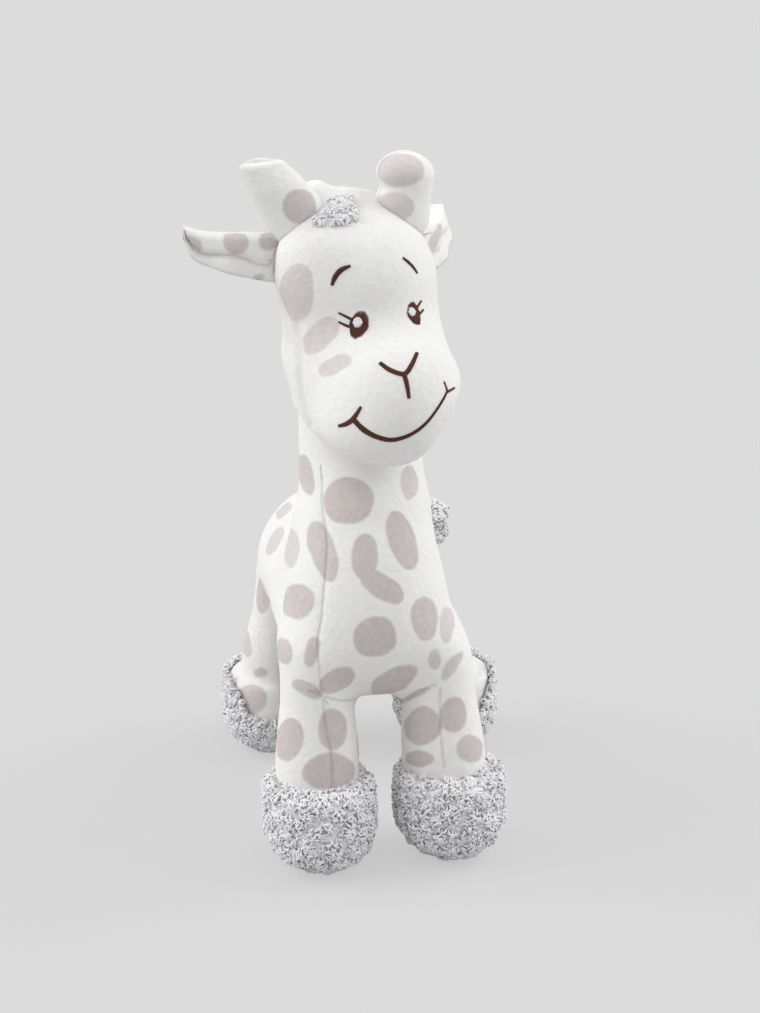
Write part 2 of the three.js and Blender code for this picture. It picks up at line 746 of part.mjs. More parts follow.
// One layer of an ear: a leaf of cloth bent over a fold that runs out along X, its two rims hanging down.
// Each cross-section has the points of the outer face, then those of the inner one.
function earLayer(start, depth, frame) {
  const points = [];
  const across = earFoldShares.length;
  earLengthShares.forEach((share, i) => {
    const out = THREE.MathUtils.lerp(start, earLength - depth, share);
    const height = (earHeight - depth) * earHeightShares[i];
    const opening = earOpening * earOpeningShares[i];
    const lean = new THREE.Vector2(opening, height).normalize();
    for (const inset of [depth, depth + earCloth]) {
      for (const fold of earFoldShares) {
        const spread = Math.sqrt(Math.abs(fold));
        const half = opening * spread + 2 * earCloth - inset * lean.y;
        const y = Math.max(earLeastHalf * spread, half) * Math.sign(fold);
        points.push(new THREE.Vector3(out, y, height * (1 / 2 - fold * fold) - inset * (1 - spread)));
      }
    }
  });
  const at = (section, face, j) => (section * 2 + face) * across + j;
  const triangles = [];
  const quad = (a, b, c, d) => triangles.push([a, b, c], [a, c, d]);
  const ends = earLengthShares.length - 1;
  for (let i = 0; i < ends; i++) {
    for (let j = 0; j < across - 1; j++) {
      quad(at(i, 0, j), at(i + 1, 0, j), at(i + 1, 0, j + 1), at(i, 0, j + 1));
      quad(at(i, 1, j), at(i, 1, j + 1), at(i + 1, 1, j + 1), at(i + 1, 1, j));
    }
    quad(at(i, 0, 0), at(i, 1, 0), at(i + 1, 1, 0), at(i + 1, 0, 0));
    quad(at(i, 1, across - 1), at(i, 0, across - 1), at(i + 1, 0, across - 1), at(i + 1, 1, across - 1));
  }
  for (let j = 0; j < across - 1; j++) {
    quad(at(0, 0, j), at(0, 0, j + 1), at(0, 1, j + 1), at(0, 1, j));
    quad(at(ends, 0, j), at(ends, 1, j), at(ends, 1, j + 1), at(ends, 0, j + 1));
  }
  return solidFrom(points, triangles, frame);
}

for (const side in signs) {
  const ear = bodyGroup(head, earFrames[side]);
  const riseFrame = earFrames[side].clone().multiply(frameAt(new THREE.Vector3(), ["Y", -earRises[side]]));
  const outer = earLayer(0, 0, riseFrame).add(bead(0, earFrames[side]));
  const liningStart = earBeadRadius + earCloth + (earHeight / 2) * Math.tan(earRises[side]);
  const lining = earLayer(liningStart, earCloth + 2 * seamGap, riseFrame);
  addPiece(ear, `ear_${side}_outer`, outer, printedCloth);
  addPiece(ear, `ear_${side}_lining`, lining, printedCloth);
}

// Legs

function footForm({ foot, heading }, shrink) {
  return stuffedForm({
    spine: [
      new THREE.Vector3(0, -toeReach, -floorCut),
      new THREE.Vector3(0, -toeReach, ankleZ / 2),
      new THREE.Vector3(0, 0, footCrownZ),
    ],
    girths: [
      [0, footHalfWidth, footHalfLength],
      [footCrownShare, footHalfWidth, footHalfLength],
      [1, ankleRadius + 2 * terryCloth, ankleRadius + 2 * terryCloth],
    ],
    domes: [footSoleDome, footCrownDome],
    sides: limbSides,
    rings: footRings,
    shrink,
    frame: frameAt(new THREE.Vector3(...foot, 0), ["Z", heading]),
  });
}

for (const [name, place] of Object.entries(legPlaces)) {
  const leg = bodyGroup(torso, frameAt(legRoot(place)));

  const limbFill = legForm(place, pileCloth + seamGap).intersect(layer(ankleZ, reach));
  const footFill = footForm(place, terryCloth + seamGap).intersect(
    layer(soleThickness + seamGap, ankleZ + seamGap),
  );
  addPiece(leg, `leg_${name}_stuffing`, limbFill.add(footFill), fibreFill);

  const legCloth = legForm(place, 0)
    .subtract(legForm(place, pileCloth))
    .subtract(trunkForm(seamDepth))
    .intersect(layer(ankleZ + seamGap, reach));
  for (const side in signs) {
    const half = halfOf(side, legRoot(place).x);
    addPiece(leg, `leg_${name}_panel_${side}`, legCloth.intersect(half), printedCloth);
  }

  const foot = footForm(place, 0);
  const footCloth = foot.subtract(footForm(place, terryCloth));
  addPiece(leg, `foot_${name}_upper`, footCloth.intersect(layer(soleThickness + seamGap, ankleZ)), greyTerry);
  addPiece(leg, `foot_${name}_sole`, foot.intersect(layer(0, soleThickness)), greyTerry);
}

// The origin lies on the surface that the giraffe stands on, under the middle of its bounding box.
const bounds = new THREE.Box3().setFromObject(giraffe, true);
giraffe.position.set(-(bounds.min.x + bounds.max.x) / 2, -(bounds.min.y + bounds.max.y) / 2, -bounds.min.z);

export default giraffe;
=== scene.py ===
# %% [markdown]
# # A plush giraffe
#
# This toy is a soft giraffe, 300 mm tall, that stands on four legs. Its body is short velvety pile
# cloth, warm white with printed taupe spots. Its feet, its mane and the end of its tail are curly
# lilac-grey terry, and its face is embroidered.
#
# The measured model comes first, with a simple solid for every piece of cloth and stuffing. Blender
# then makes the surfaces that a person would see and touch. Sizes here are in millimetres until a
# mesh is handed to Blender, because the joints and cloth of a toy are easier to think about that
# way.

# %% Load the measured model
import json
import math

import bpy
import numpy as np
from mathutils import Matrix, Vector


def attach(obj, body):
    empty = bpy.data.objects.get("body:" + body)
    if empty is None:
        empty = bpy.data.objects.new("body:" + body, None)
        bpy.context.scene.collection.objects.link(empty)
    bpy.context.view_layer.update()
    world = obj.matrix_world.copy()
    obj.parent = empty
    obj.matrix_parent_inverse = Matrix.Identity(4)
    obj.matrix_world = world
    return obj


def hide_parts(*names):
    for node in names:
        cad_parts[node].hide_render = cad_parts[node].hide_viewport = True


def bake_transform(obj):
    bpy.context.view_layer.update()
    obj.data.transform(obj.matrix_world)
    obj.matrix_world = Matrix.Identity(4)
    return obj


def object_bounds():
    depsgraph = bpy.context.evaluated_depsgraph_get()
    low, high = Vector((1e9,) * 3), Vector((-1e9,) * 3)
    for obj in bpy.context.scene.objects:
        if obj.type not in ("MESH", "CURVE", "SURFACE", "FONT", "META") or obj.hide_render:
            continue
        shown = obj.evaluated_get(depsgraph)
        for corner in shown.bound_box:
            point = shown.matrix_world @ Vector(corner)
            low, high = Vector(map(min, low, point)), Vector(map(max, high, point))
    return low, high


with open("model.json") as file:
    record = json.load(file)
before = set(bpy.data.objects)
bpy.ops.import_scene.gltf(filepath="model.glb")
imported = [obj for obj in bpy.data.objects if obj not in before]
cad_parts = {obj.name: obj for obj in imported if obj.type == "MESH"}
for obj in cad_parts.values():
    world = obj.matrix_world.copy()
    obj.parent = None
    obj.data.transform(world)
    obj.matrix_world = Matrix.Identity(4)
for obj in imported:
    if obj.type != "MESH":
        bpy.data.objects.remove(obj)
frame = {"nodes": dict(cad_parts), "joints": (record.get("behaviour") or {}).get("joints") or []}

import openvdb
from mathutils import Matrix, Vector
from mathutils.bvhtree import BVHTree
from mathutils.kdtree import KDTree

metre = 1000.0
cad_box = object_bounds()
joint_at = {joint["name"]: metre * np.array(joint["pos_m"]) for joint in frame["joints"]}
neck_base = joint_at["neck_bend"]
neck_top = joint_at["head_turn"]
print("joints:", ", ".join(joint_at))

# %% [markdown]
# ## The camera
#
# A picture of an object can be matched only from where it was taken. This one was taken from the
# giraffe's right and from above, with a long lens. The camera stands 1.1 m away from a point in the
# chest, and its lens follows from how many pixels a millimetre takes up there. The same numbers
# turn a pixel of the picture into a line through space, which later places the spots and the
# stitches.

# %% Camera
picture_width = 760
picture_height = 1013
pixels_per_mm = 2.28
camera_distance = 1100.0
camera_turn = math.radians(-8)
camera_height_angle = math.radians(20)
sensor_size = 36.0

camera_target = neck_base + (9.5, 27, 3)
camera_back = np.array((
    math.sin(camera_turn) * math.cos(camera_height_angle),
    -math.cos(camera_turn) * math.cos(camera_height_angle),
    math.sin(camera_height_angle),
))
camera_place = camera_target + camera_distance * camera_back
focal_pixels = pixels_per_mm * camera_distance

camera_data = bpy.data.cameras.new("camera")
camera_data.lens = focal_pixels * sensor_size / picture_height
camera_data.sensor_width = sensor_size
camera_data.clip_end = 10
camera = bpy.data.objects.new("camera", camera_data)
camera.location = camera_place / metre
camera.rotation_euler = Vector(camera_back).to_track_quat("Z", "Y").to_euler()
bpy.context.scene.collection.objects.link(camera)
bpy.context.scene.camera = camera
bpy.context.view_layer.update()
camera_axes = np.array(camera.matrix_world.to_3x3())


def pixel_ray(x, y):
    """The direction in which the camera sees a pixel of the picture."""
    rightward, upward = x - picture_width / 2, picture_height / 2 - y
    ray = camera_axes @ (rightward / focal_pixels, upward / focal_pixels, -1)
    return ray / np.linalg.norm(ray)


print(f"lens {camera_data.lens:.1f} mm, camera at {np.round(camera_place)} mm")

# %% [markdown]
# ## Light, floor and backdrop
#
# White plush shows its shape only through soft shade. The toy was lit from both sides, so its edges
# are brighter than its chest. Three suns do that here: each is so wide that its shadows stay soft,
# and a sun lights the whole floor evenly. A pale world fills the rest. Where the camera looks past
# the toy it sees a flat light grey: the floor's own colour fades into a plain emission that only
# camera rays meet, so that it never adds light to the toy.

# %% Light and floor
backdrop_grey = 0.716
floor_grey = 0.555
floor_fade = 0.72


def wide_sun(name, direction, strength, angle):
    """A sun that shines from a direction, with soft shadows because it is wide."""
    data = bpy.data.lights.new(name, "SUN")
    data.energy = strength
    data.angle = math.radians(angle)
    lamp = bpy.data.objects.new(name, data)
    lamp.rotation_euler = Vector(direction).to_track_quat("Z", "Y").to_euler()
    bpy.context.scene.collection.objects.link(lamp)


def fades_to_backdrop(tree, lit, glow_kind, output, share):
    """Lets the camera, and nothing else, see a share of the backdrop's grey over what is lit."""
    glow = tree.nodes.new(glow_kind)
    glow.inputs["Color"].default_value = (backdrop_grey,) * 3 + (1,)
    path = tree.nodes.new("ShaderNodeLightPath")
    seen = tree.nodes.new("ShaderNodeMath")
    seen.operation = "MULTIPLY"
    seen.inputs[1].default_value = share
    mix = tree.nodes.new("ShaderNodeMixShader")
    tree.links.new(path.outputs["Is Camera Ray"], seen.inputs[0])
    tree.links.new(seen.outputs["Value"], mix.inputs["Fac"])
    tree.links.new(tree.nodes[lit].outputs[0], mix.inputs[1])
    tree.links.new(glow.outputs[0], mix.inputs[2])
    tree.links.new(mix.outputs["Shader"], tree.nodes[output].inputs["Surface"])


wide_sun("right_side_sun", (-1, 0.2, 0.7), 1.75, 50)
wide_sun("left_side_sun", (1, 0.15, 0.7), 1.5, 50)
wide_sun("front_sun", (0.1, -0.7, 1.2), 0.45, 60)

world = bpy.data.worlds.new("studio")
bpy.context.scene.world = world
world.use_nodes = True
pale_world = world.node_tree.nodes["Background"]
pale_world.inputs["Strength"].default_value = 0.56
pale_world.inputs["Color"].default_value = (1.0, 0.995, 0.985, 1)
fades_to_backdrop(world.node_tree, "Background", "ShaderNodeBackground", "World Output", 1.0)

bpy.context.scene.view_settings.view_transform = "Standard"

bpy.ops.mesh.primitive_circle_add(vertices=96, radius=4, fill_type="NGON")
floor = bpy.context.object
floor.name = "floor"
floor_material = bpy.data.materials.new("pale floor")
floor_material.use_nodes = True
floor_shader = floor_material.node_tree.nodes["Principled BSDF"]
floor_shader.inputs["Base Color"].default_value = (floor_grey,) * 3 + (1,)
floor_shader.inputs["Roughness"].default_value = 0.9
fades_to_backdrop(
    floor_material.node_tree, "Principled BSDF", "ShaderNodeEmission", "Material Output", floor_fade
)
floor.data.materials.append(floor_material)
print("three wide suns over a pale floor")

# %% [markdown]
# ## Stuffed forms
#
# A stuffed limb is a tube of cloth that swells where it is full and closes in a dome at its end. It
# can be drawn as oval rings along a curved spine. The rings lie closer together near the ends,
# where the dome turns fastest.

# %% Oval rings along a spine
form_sides = 56
form_rings = 44
steps_a_stretch = 24


def smooth_path(spine):
    """A smooth line of many points through the points of a spine."""
    spine = np.array(spine, float)
    spine = np.vstack([2 * spine[0] - spine[1], spine, 2 * spine[-1] - spine[-2]])
    step = np.linspace(0, 1, steps_a_stretch, endpoint=False)[:, None]
    stretches = [
        b + step / 2 * ((c - a) + step * ((2 * a - 5 * b + 4 * c - d) + step * (3 * b - a - 3 * c + d)))
        for a, b, c, d in zip(spine, spine[1:], spine[2:], spine[3:])
    ]
    return np.vstack([*stretches, spine[-2:-1]])


def spread_along(path, places):
    """The points of a path at these distances along it, and its direction there."""
    travelled = np.concatenate([[0], np.cumsum(np.linalg.norm(np.diff(path, axis=0), axis=1))])
    ways = np.gradient(path, travelled, axis=0)
    points = np.column_stack([np.interp(places, travelled, path[:, axis]) for axis in range(3)])
    ways = np.column_stack([np.interp(places, travelled, ways[:, axis]) for axis in range(3)])
    return points, ways / np.linalg.norm(ways, axis=1)[:, None]


def path_length(path):
    return np.linalg.norm(np.diff(path, axis=0), axis=1).sum()


def ring_faces(rings, sides):
    """Triangles between rings of points that follow a first pole and come before a last one."""
    side = np.arange(sides)
    after = (side + 1) % sides
    last = rings * sides + 1
    faces = [np.column_stack([np.zeros(sides, int), 1 + after, 1 + side])]
    for ring in range(rings - 1):
        low, high = 1 + ring * sides, 1 + (ring + 1) * sides
        faces.append(np.column_stack([low + side, low + after, high + after]))
        faces.append(np.column_stack([low + side, high + after, high + side]))
    faces.append(np.column_stack([np.full(sides, last), last - sides + side, last - sides + after]))
    return np.vstack(faces)


def stuffed_form(spine, girths, domes, rings=form_rings, sides=form_sides):
    """Points and triangles of a form. Each girth is (share of the spine, half width, half depth)."""
    path = smooth_path(spine)
    length = path_length(path)
    places = length * (1 - np.cos(np.linspace(0, math.pi, rings + 1))) / 2
    centres, ways = spread_along(path, places)
    across = np.array((1.0, 0, 0)) - ways * ways[:, :1]
    across /= np.linalg.norm(across, axis=1)[:, None]
    over = np.cross(ways, across)
    dome = 1.0
    for from_end, height in zip((places, length - places), domes):
        dome = dome * np.sqrt(1 - (1 - np.clip(from_end / height, 0, 1)) ** 2)
    shares, wide, deep = np.array(girths, float).T
    wide = np.interp(places / length, shares, wide) * dome
    deep = np.interp(places / length, shares, deep) * dome
    angles = 2 * math.pi * np.arange(sides) / sides
    out = np.cos(angles)[None, :, None] * wide[:, None, None] * across[:, None]
    up = np.sin(angles)[None, :, None] * deep[:, None, None] * over[:, None]
    rounds = (centres[:, None] + out + up)[1:-1].reshape(-1, 3)
    return np.vstack([centres[:1], rounds, centres[-1:]]), ring_faces(rings - 1, sides)


def moved(form, placement):
    """The same form, put in a frame of its own."""
    points, faces = form
    placement = np.array(placement)
    return points @ placement[:3, :3].T + placement[:3, 3], faces


# %% [markdown]
# ## From many forms to one skin
#
# The cloth of a toy runs on from its neck to its chest and down its legs. Separate tubes pushed
# into each other would show a hard line where they meet. So each form becomes a distance field
# first: a grid of numbers that say how far each place is from the form's surface. Two fields can be
# joined softly, which fills the corner between them as stuffing does, and the skin is then read
# back where the joined distance is zero.

# %% Distance fields
voxel = 1.4
band_voxels = 16


class Space:
    """A box of voxels in which forms are joined."""

    def __init__(self, low, high):
        self.corner = np.floor(np.array(low) / voxel).astype(int)
        self.shape = tuple(np.ceil(np.array(high) / voxel).astype(int) - self.corner)

    def field(self, form):
        """The distance from every voxel to a form, less than zero inside it."""
        points, faces = form
        grid = openvdb.FloatGrid.createLevelSetFromPolygons(
            points.astype(np.float32),
            triangles=faces.astype(np.uint32),
            transform=openvdb.createLinearTransform(voxelSize=voxel),
            halfWidth=band_voxels,
        )
        field = np.empty(self.shape, np.float32)
        grid.copyToArray(field, ijk=tuple(int(i) for i in self.corner))
        return field

    def skin(self, field):
        """The points and four-sided faces of the surface where a field is zero."""
        grid = openvdb.FloatGrid(band_voxels * voxel)
        grid.copyFromArray(field, ijk=tuple(int(i) for i in self.corner))
        grid.transform = openvdb.createLinearTransform(voxelSize=voxel)
        points, quads = grid.convertToQuads(isovalue=0)
        return points.astype(float), quads.astype(int)


def soft_union(first, second, softness):
    """Two fields as one, with the corner between them filled over a distance."""
    near = np.maximum(softness - np.abs(first - second), 0) / softness
    return np.minimum(first, second) - near * near * softness / 4


def vertex_mean(values, faces, count):
    """The mean over each vertex's edges of the values at their other ends."""
    starts = faces.ravel()
    ends = np.roll(faces, -1, axis=1).ravel()
    starts, ends = np.concatenate([starts, ends]), np.concatenate([ends, starts])
    total = np.column_stack([np.bincount(starts, values[ends, axis], count) for axis in range(3)])
    return total / np.bincount(starts, minlength=count)[:, None]


def relaxed(points, faces, rounds):
    """Evens out the steps that voxels leave, and swells the mesh back so that it doesn't shrink."""
    for _ in range(rounds):
        for strength in (0.5, -0.52):
            points = points + strength * (vertex_mean(points, faces, len(points)) - points)
    return points


def vertex_normals(points, faces):
    """Unit normals of a mesh of triangles or of four-sided faces."""
    diagonal = points[faces[:, 2]] - points[faces[:, 0]]
    other = points[faces[:, -1]] - points[faces[:, 1]]
    face_normals = np.cross(diagonal, other)
    normals = np.zeros_like(points)
    for corner in range(faces.shape[1]):
        for axis in range(3):
            normals[:, axis] += np.bincount(faces[:, corner], face_normals[:, axis], len(points))
    return normals / np.maximum(np.linalg.norm(normals, axis=1), 1e-9)[:, None]


def facing_out(points, faces):
    """The faces, turned so that they all face out."""
    a, b, c = (points[faces[:, corner]] for corner in range(3))
    volume = np.einsum("ij,ij->i", a, np.cross(b, c)).sum()
    return faces if volume > 0 else faces[:, ::-1]


def with_normals(form):
    """A form's points and faces, turned to face out, with its normals."""
    points, faces = form
    faces = facing_out(points, faces)
    return points, faces, vertex_normals(points, faces)


def eased(share):
    """A share from 0 to 1 that starts and stops gently."""
    share = np.clip(share, 0, 1)
    return share * share * (3 - 2 * share)


# %% [markdown]
# ## The body
#
# The trunk lies along Y, the neck rises from its front and leans a little back, and the legs come
# down from sockets at its corners. The neck melts into the trunk over a wide fillet, as one side
# panel runs up both. The legs join with a tighter one, which leaves the crease that the toy has
# above each front leg. Each foot is turned by an angle of its own. A hind leg is also joined to a
# smaller copy of its boot, so that its cloth can come down over the instep.
#
# The stuffing isn't the same on both sides. Above the left shoulder the toy slopes in, so there the
# skin's points are drawn towards the middle, by a share that fades out all round.

# %% Body skin
floor_middle = neck_base - (-1, -17, 136)
neck_radius = 31.0
leg_root_radius = 15.6
leg_radius = 17.8
ankle_radius = 18.4
ankle_height = 39.5
neck_softness = 17.0
leg_softness = 9.0
foot_half_width = 23.8
foot_half_length = 27.0
foot_crown = 49.0
toe_reach = 5.0
top_spread = 6.4
top_drop = 5.5
top_rounding = 4.0
loop_depth = 1.3
instep_inset = 2.9
instep_softness = 5.0
left_slope = 0.15
slope_low, slope_low_run = 84.0, 28.0
slope_high, slope_high_run = 168.0, 38.0
slope_rear, slope_rear_run = 74.0, 44.0
slope_side_run = 20.0

trunk_spine = [(0, -60, 106.5), (0, -17, 106.5), (0, 29, 105), (0, 93, 103)]
trunk = stuffed_form(
    [floor_middle + place for place in trunk_spine],
    [(0, 38.5, 38), (0.3, 38.5, 38), (0.62, 43.5, 35), (1, 40, 33)],
    (32, 55),
)


def shoulder_form(hip, side):
    """The stuffing that leads from a front leg into the trunk."""
    inner_end = (hip[0] - 3 * side, floor_middle[1] + 15, 98)
    return stuffed_form([hip + (0, -3, 6), inner_end], [(0, 14, 15), (1, 14, 15)], (14, 14))


shoulders = [
    shoulder_form(joint_at["leg_front_right_swing"], -1),
    shoulder_form(joint_at["leg_front_left_swing"], 1),
]
neck_throat = neck_top - (0, 0, 33)
neck_way = (neck_throat - neck_base) / np.linalg.norm(neck_throat - neck_base)
neck = stuffed_form(
    [neck_base - neck_radius * neck_way, neck_base, neck_throat, neck_top, neck_top + (0, 0, 19)],
    [(0, 31, 31), (0.35, 30.5, 30.5), (0.46, 27, 27.4), (0.56, 26, 26.6), (1, 26, 26.6)],
    (neck_radius, 19),
)
feet = {
    "front_right": (floor_middle + (-26.5, -46, 0), math.radians(4)),
    "front_left": (floor_middle + (30.5, -42, 0), math.radians(6)),
    "hind_right": (floor_middle + (-32.5, 76, 0), math.radians(-14)),
    "hind_left": (floor_middle + (46, 69, 0), math.radians(14)),
}


def leg_form(name):
    """A leg from its round root in the trunk down into its foot."""
    hip = joint_at[f"leg_{name}_swing"]
    ankle = feet[name][0] + (0, 0, ankle_height - leg_radius)
    root = hip - leg_root_radius * (ankle - hip) / np.linalg.norm(ankle - hip)
    girths = [
        (0, leg_root_radius, leg_root_radius),
        (0.42, leg_root_radius, leg_root_radius),
        (0.66, leg_radius, leg_radius),
        (0.9, ankle_radius, ankle_radius),
    ]
    return stuffed_form([root, hip, ankle], girths, (leg_root_radius, 6))


def foot_form(name, inset, lowest):
    """A boot, smaller all round by an inset and flat below."""
    place, heading = feet[name]
    crown = ankle_radius + top_spread - inset
    wide, long = foot_half_width - inset, foot_half_length - inset
    form = stuffed_form(
        [(0, -toe_reach, loop_depth / 3), (0, -toe_reach, ankle_height / 2), (0, 0, foot_crown)],
        [(0, wide, long), (0.55, wide, long), (1, crown, crown)],
        (19, 18),
    )
    points, faces = moved(form, Matrix.Translation(Vector(place)) @ Matrix.Rotation(heading, 4, "Z"))
    height = points[:, 2] - floor_middle[2]
    top = ankle_height - top_drop - (inset - loop_depth)
    rounded_top = top + top_rounding * np.tanh((height - top) / top_rounding)
    height = np.where(height > top, rounded_top, np.maximum(height, lowest))
    return np.column_stack([points[:, :2], height + floor_middle[2]]), faces


margin = 12.0
body_space = Space(metre * np.array(cad_box[0]) - margin, metre * np.array(cad_box[1]) + margin)
trunk_field = body_space.field(trunk)
for shoulder in shoulders:
    trunk_field = soft_union(trunk_field, body_space.field(shoulder), leg_softness)
body_field = soft_union(trunk_field, body_space.field(neck), neck_softness)
for leg_name in feet:
    body_field = soft_union(body_field, body_space.field(leg_form(leg_name)), leg_softness)
    if "hind" in leg_name:
        instep = body_space.field(foot_form(leg_name, instep_inset, 3.0))
        body_field = soft_union(body_field, instep, instep_softness)
body_points, body_faces = body_space.skin(body_field)
body_faces = facing_out(body_points, body_faces)
body_points = relaxed(body_points, body_faces, 4)

in_body = body_points - floor_middle
sloped = left_slope * eased((in_body[:, 2] - slope_low) / slope_low_run)
sloped *= eased((slope_high - in_body[:, 2]) / slope_high_run)
sloped *= eased(in_body[:, 0] / slope_side_run) * eased((slope_rear - in_body[:, 1]) / slope_rear_run)
body_points[:, 0] -= sloped * in_body[:, 0]
print("body skin:", len(body_points), "points")

# %% [markdown]
# ## The head
#
# The head has a frame of its own, because it rests turned to its left and tilted a little. It is a
# tall skull with a broad muzzle pushed through its front, joined softly so that the cheeks run into
# the nose. A third form fills the right temple, and a ridge runs over the crown from horn to horn.
# The muzzle narrows towards the chin on its left side, and is a little fuller there on its right.
# Below, a short collar goes round the top of the neck. The collar is round about the line that the
# head turns on, so it stays closed round the neck however the head is turned.

# %% Head skin
head_turn = math.radians(11)
head_tilt = math.radians(-4)
head_frame = Matrix.Translation(Vector(neck_top)) @ Matrix.Rotation(head_turn, 4, "Z")
head_frame = head_frame @ Matrix.Rotation(head_tilt, 4, "Y")
muzzle_softness = 13.0
chin_start = 10.0
chin_run = 28.0
chin_taper = 0.28
cheek_taper = -0.15
cheek_narrowing = 0.1
skull_narrowing = 0.06
temple_height = 50.0
temple_run = 20.0
ridge_softness = 9.0
collar_softness = 12.0

skull = stuffed_form([(0, -3, -12), (0, -3, 76)], [(0, 33.4, 38), (1, 33.4, 38)], (25, 34))
muzzle = stuffed_form([(0, 0, 0.5), (0, -69, 3.5)], [(0, 31, 30), (1, 31, 30)], (17, 34))
muzzle_points = muzzle[0]
narrower = np.where(muzzle_points[:, 0] > 0, chin_taper, cheek_taper)
narrower = narrower * eased((chin_start - muzzle_points[:, 2]) / chin_run)
muzzle_points[:, 0] *= 1 - narrower - np.where(muzzle_points[:, 0] < 0, cheek_narrowing, 0)
skull_points = skull[0]
narrower = np.where(skull_points[:, 0] < 0, skull_narrowing, 0)
skull_points[:, 0] *= 1 - narrower * eased((temple_height - skull_points[:, 2]) / temple_run)
temple = stuffed_form([(-15, -12, 35), (-17, -11, 74)], [(0, 18, 18), (1, 18, 18)], (18, 18))
ridge_spine = [(-19, 4, 81), (-8, 4, 73.5), (3, 4, 71), (19, 4, 66)]
crown_ridge = stuffed_form(ridge_spine, [(0, 9, 9), (1, 6.5, 6.5)], (8, 6))
collar_spine = [neck_top - (0, 0, 16), neck_top + (0, 0, 14)]
collar = stuffed_form(collar_spine, [(0, 28, 28), (1, 28, 28)], (5, 5))
head_space = Space(neck_top - (60, 95, 50), neck_top + (60, 60, 100))
head_field = soft_union(
    head_space.field(moved(skull, head_frame)),
    head_space.field(moved(muzzle, head_frame)),
    muzzle_softness,
)
for form in (temple, crown_ridge):
    head_field = soft_union(head_field, head_space.field(moved(form, head_frame)), ridge_softness)
head_field = soft_union(head_field, head_space.field(collar), collar_softness)
head_points, head_faces = head_space.skin(head_field)
head_faces = facing_out(head_points, head_faces)
head_points = relaxed(head_points, head_faces, 4)
head_normals = vertex_normals(head_points, head_faces)


def in_head_frame(points):
    """The same points in the head's own frame."""
    return (points - np.array(head_frame.translation)) @ np.array(head_frame.to_3x3())


print("head skin:", len(head_points), "points")

# %% [markdown]
# ## From numbers to pieces
#
# Everything so far is lists of points and faces. A piece of the toy is a mesh object made from
# them, and some of its points carry numbers of their own: how deep they lie in a printed spot, or
# how far they are from a seam. Materials read those numbers later, so a spot is printed into the
# cloth and moves with it. Each piece is then dressed: it gets a material and a slot, the measured
# solids that it stands for are hidden, and where a body is named it rides on that body.

# %% A piece of the toy
def piece_of(name, points, faces, normals=None, **marks):
    """A smooth mesh object with numbers on its points, given in millimetres."""
    mesh = bpy.data.meshes.new(name)
    mesh.vertices.add(len(points))
    mesh.vertices.foreach_set("co", (points / metre).ravel())
    mesh.loops.add(faces.size)
    mesh.loops.foreach_set("vertex_index", faces.ravel())
    mesh.polygons.add(len(faces))
    mesh.polygons.foreach_set("loop_start", np.arange(len(faces)) * faces.shape[1])
    mesh.polygons.foreach_set("use_smooth", np.ones(len(faces), bool))
    mesh.update(calc_edges=True)
    if "seam" in marks:
        marks["seam_away"] = np.abs(marks["seam"])
    for mark, values in marks.items():
        attribute = mesh.attributes.new(mark, "FLOAT", "POINT")
        attribute.data.foreach_set("value", np.asarray(values, np.float32))
    if normals is not None:
        mesh.normals_split_custom_set_from_vertices(normals.tolist())
    piece = bpy.data.objects.new(name, mesh)
    bpy.context.scene.collection.objects.link(piece)
    return piece


def dressed(piece, material, nodes=(), body=None):
    """A piece with its material and slot, the solids that it replaces and the body that it rides on."""
    piece.data.materials.append(material)
    if nodes:
        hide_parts(*nodes)
    if body:
        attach(piece, body)
    return piece


def nodes_with(*starts):
    """The solids of the measured model whose names start with one of these."""
    return [name for name in frame["nodes"] if name.startswith(starts)]


def part_of(points, faces, chosen, *values):
    """The chosen faces with only the points that they use, and those points' values."""
    faces = faces[chosen]
    used, corners = np.unique(faces, return_inverse=True)
    return points[used], corners.reshape(faces.shape), *(value[used] for value in values)


def surface_of(points, faces):
    """A mesh that rays can be cast at."""
    return BVHTree.FromPolygons(points.tolist(), faces.tolist())


def seen_at(points):
    """The pixels of the picture at which the camera sees points."""
    local = (points - camera_place) @ camera_axes
    across = picture_width / 2 - focal_pixels * local[:, 0] / local[:, 2]
    return np.column_stack([across, picture_height / 2 + focal_pixels * local[:, 1] / local[:, 2]])


def on_surface(surface, x, y):
    """The place on a surface that the camera sees at a pixel, and which way the surface faces there.

    A pixel just outside the toy's outline gives the nearest place on the surface.
    """
    ray = pixel_ray(x, y)
    place, direction, *_ = surface.ray_cast(Vector(camera_place), Vector(ray))
    if place is None:
        distance = np.dot(camera_target - camera_place, ray)
        place, direction, *_ = surface.find_nearest(Vector(camera_place + distance * ray))
    return np.array(place), np.array(direction)


body_surface = surface_of(body_points, body_faces)
head_surface = surface_of(head_points, head_faces)
print("a pixel of the chest is at", np.round(on_surface(body_surface, 360, 620)[0]))

# %% [markdown]
# ## Seams
#
# The toy was cut from flat cloth, so seams run down its chest, legs, back and cheeks. Sewing pulls
# the cloth in: a seam is a shallow groove, and the shade in it is painted into the cloth as a thin
# dark line. Seams that the picture shows are given by its pixels, and so are the creases above the
# front legs, whose shade is painted the same way. Hidden seams run where such a toy has them. Every
# point of the skin learns how far it is from the nearest seam, and near one it sinks in.

# %% Seam lines
seam_reach = 12.0
groove_depth = 0.4
groove_half_width = 1.7


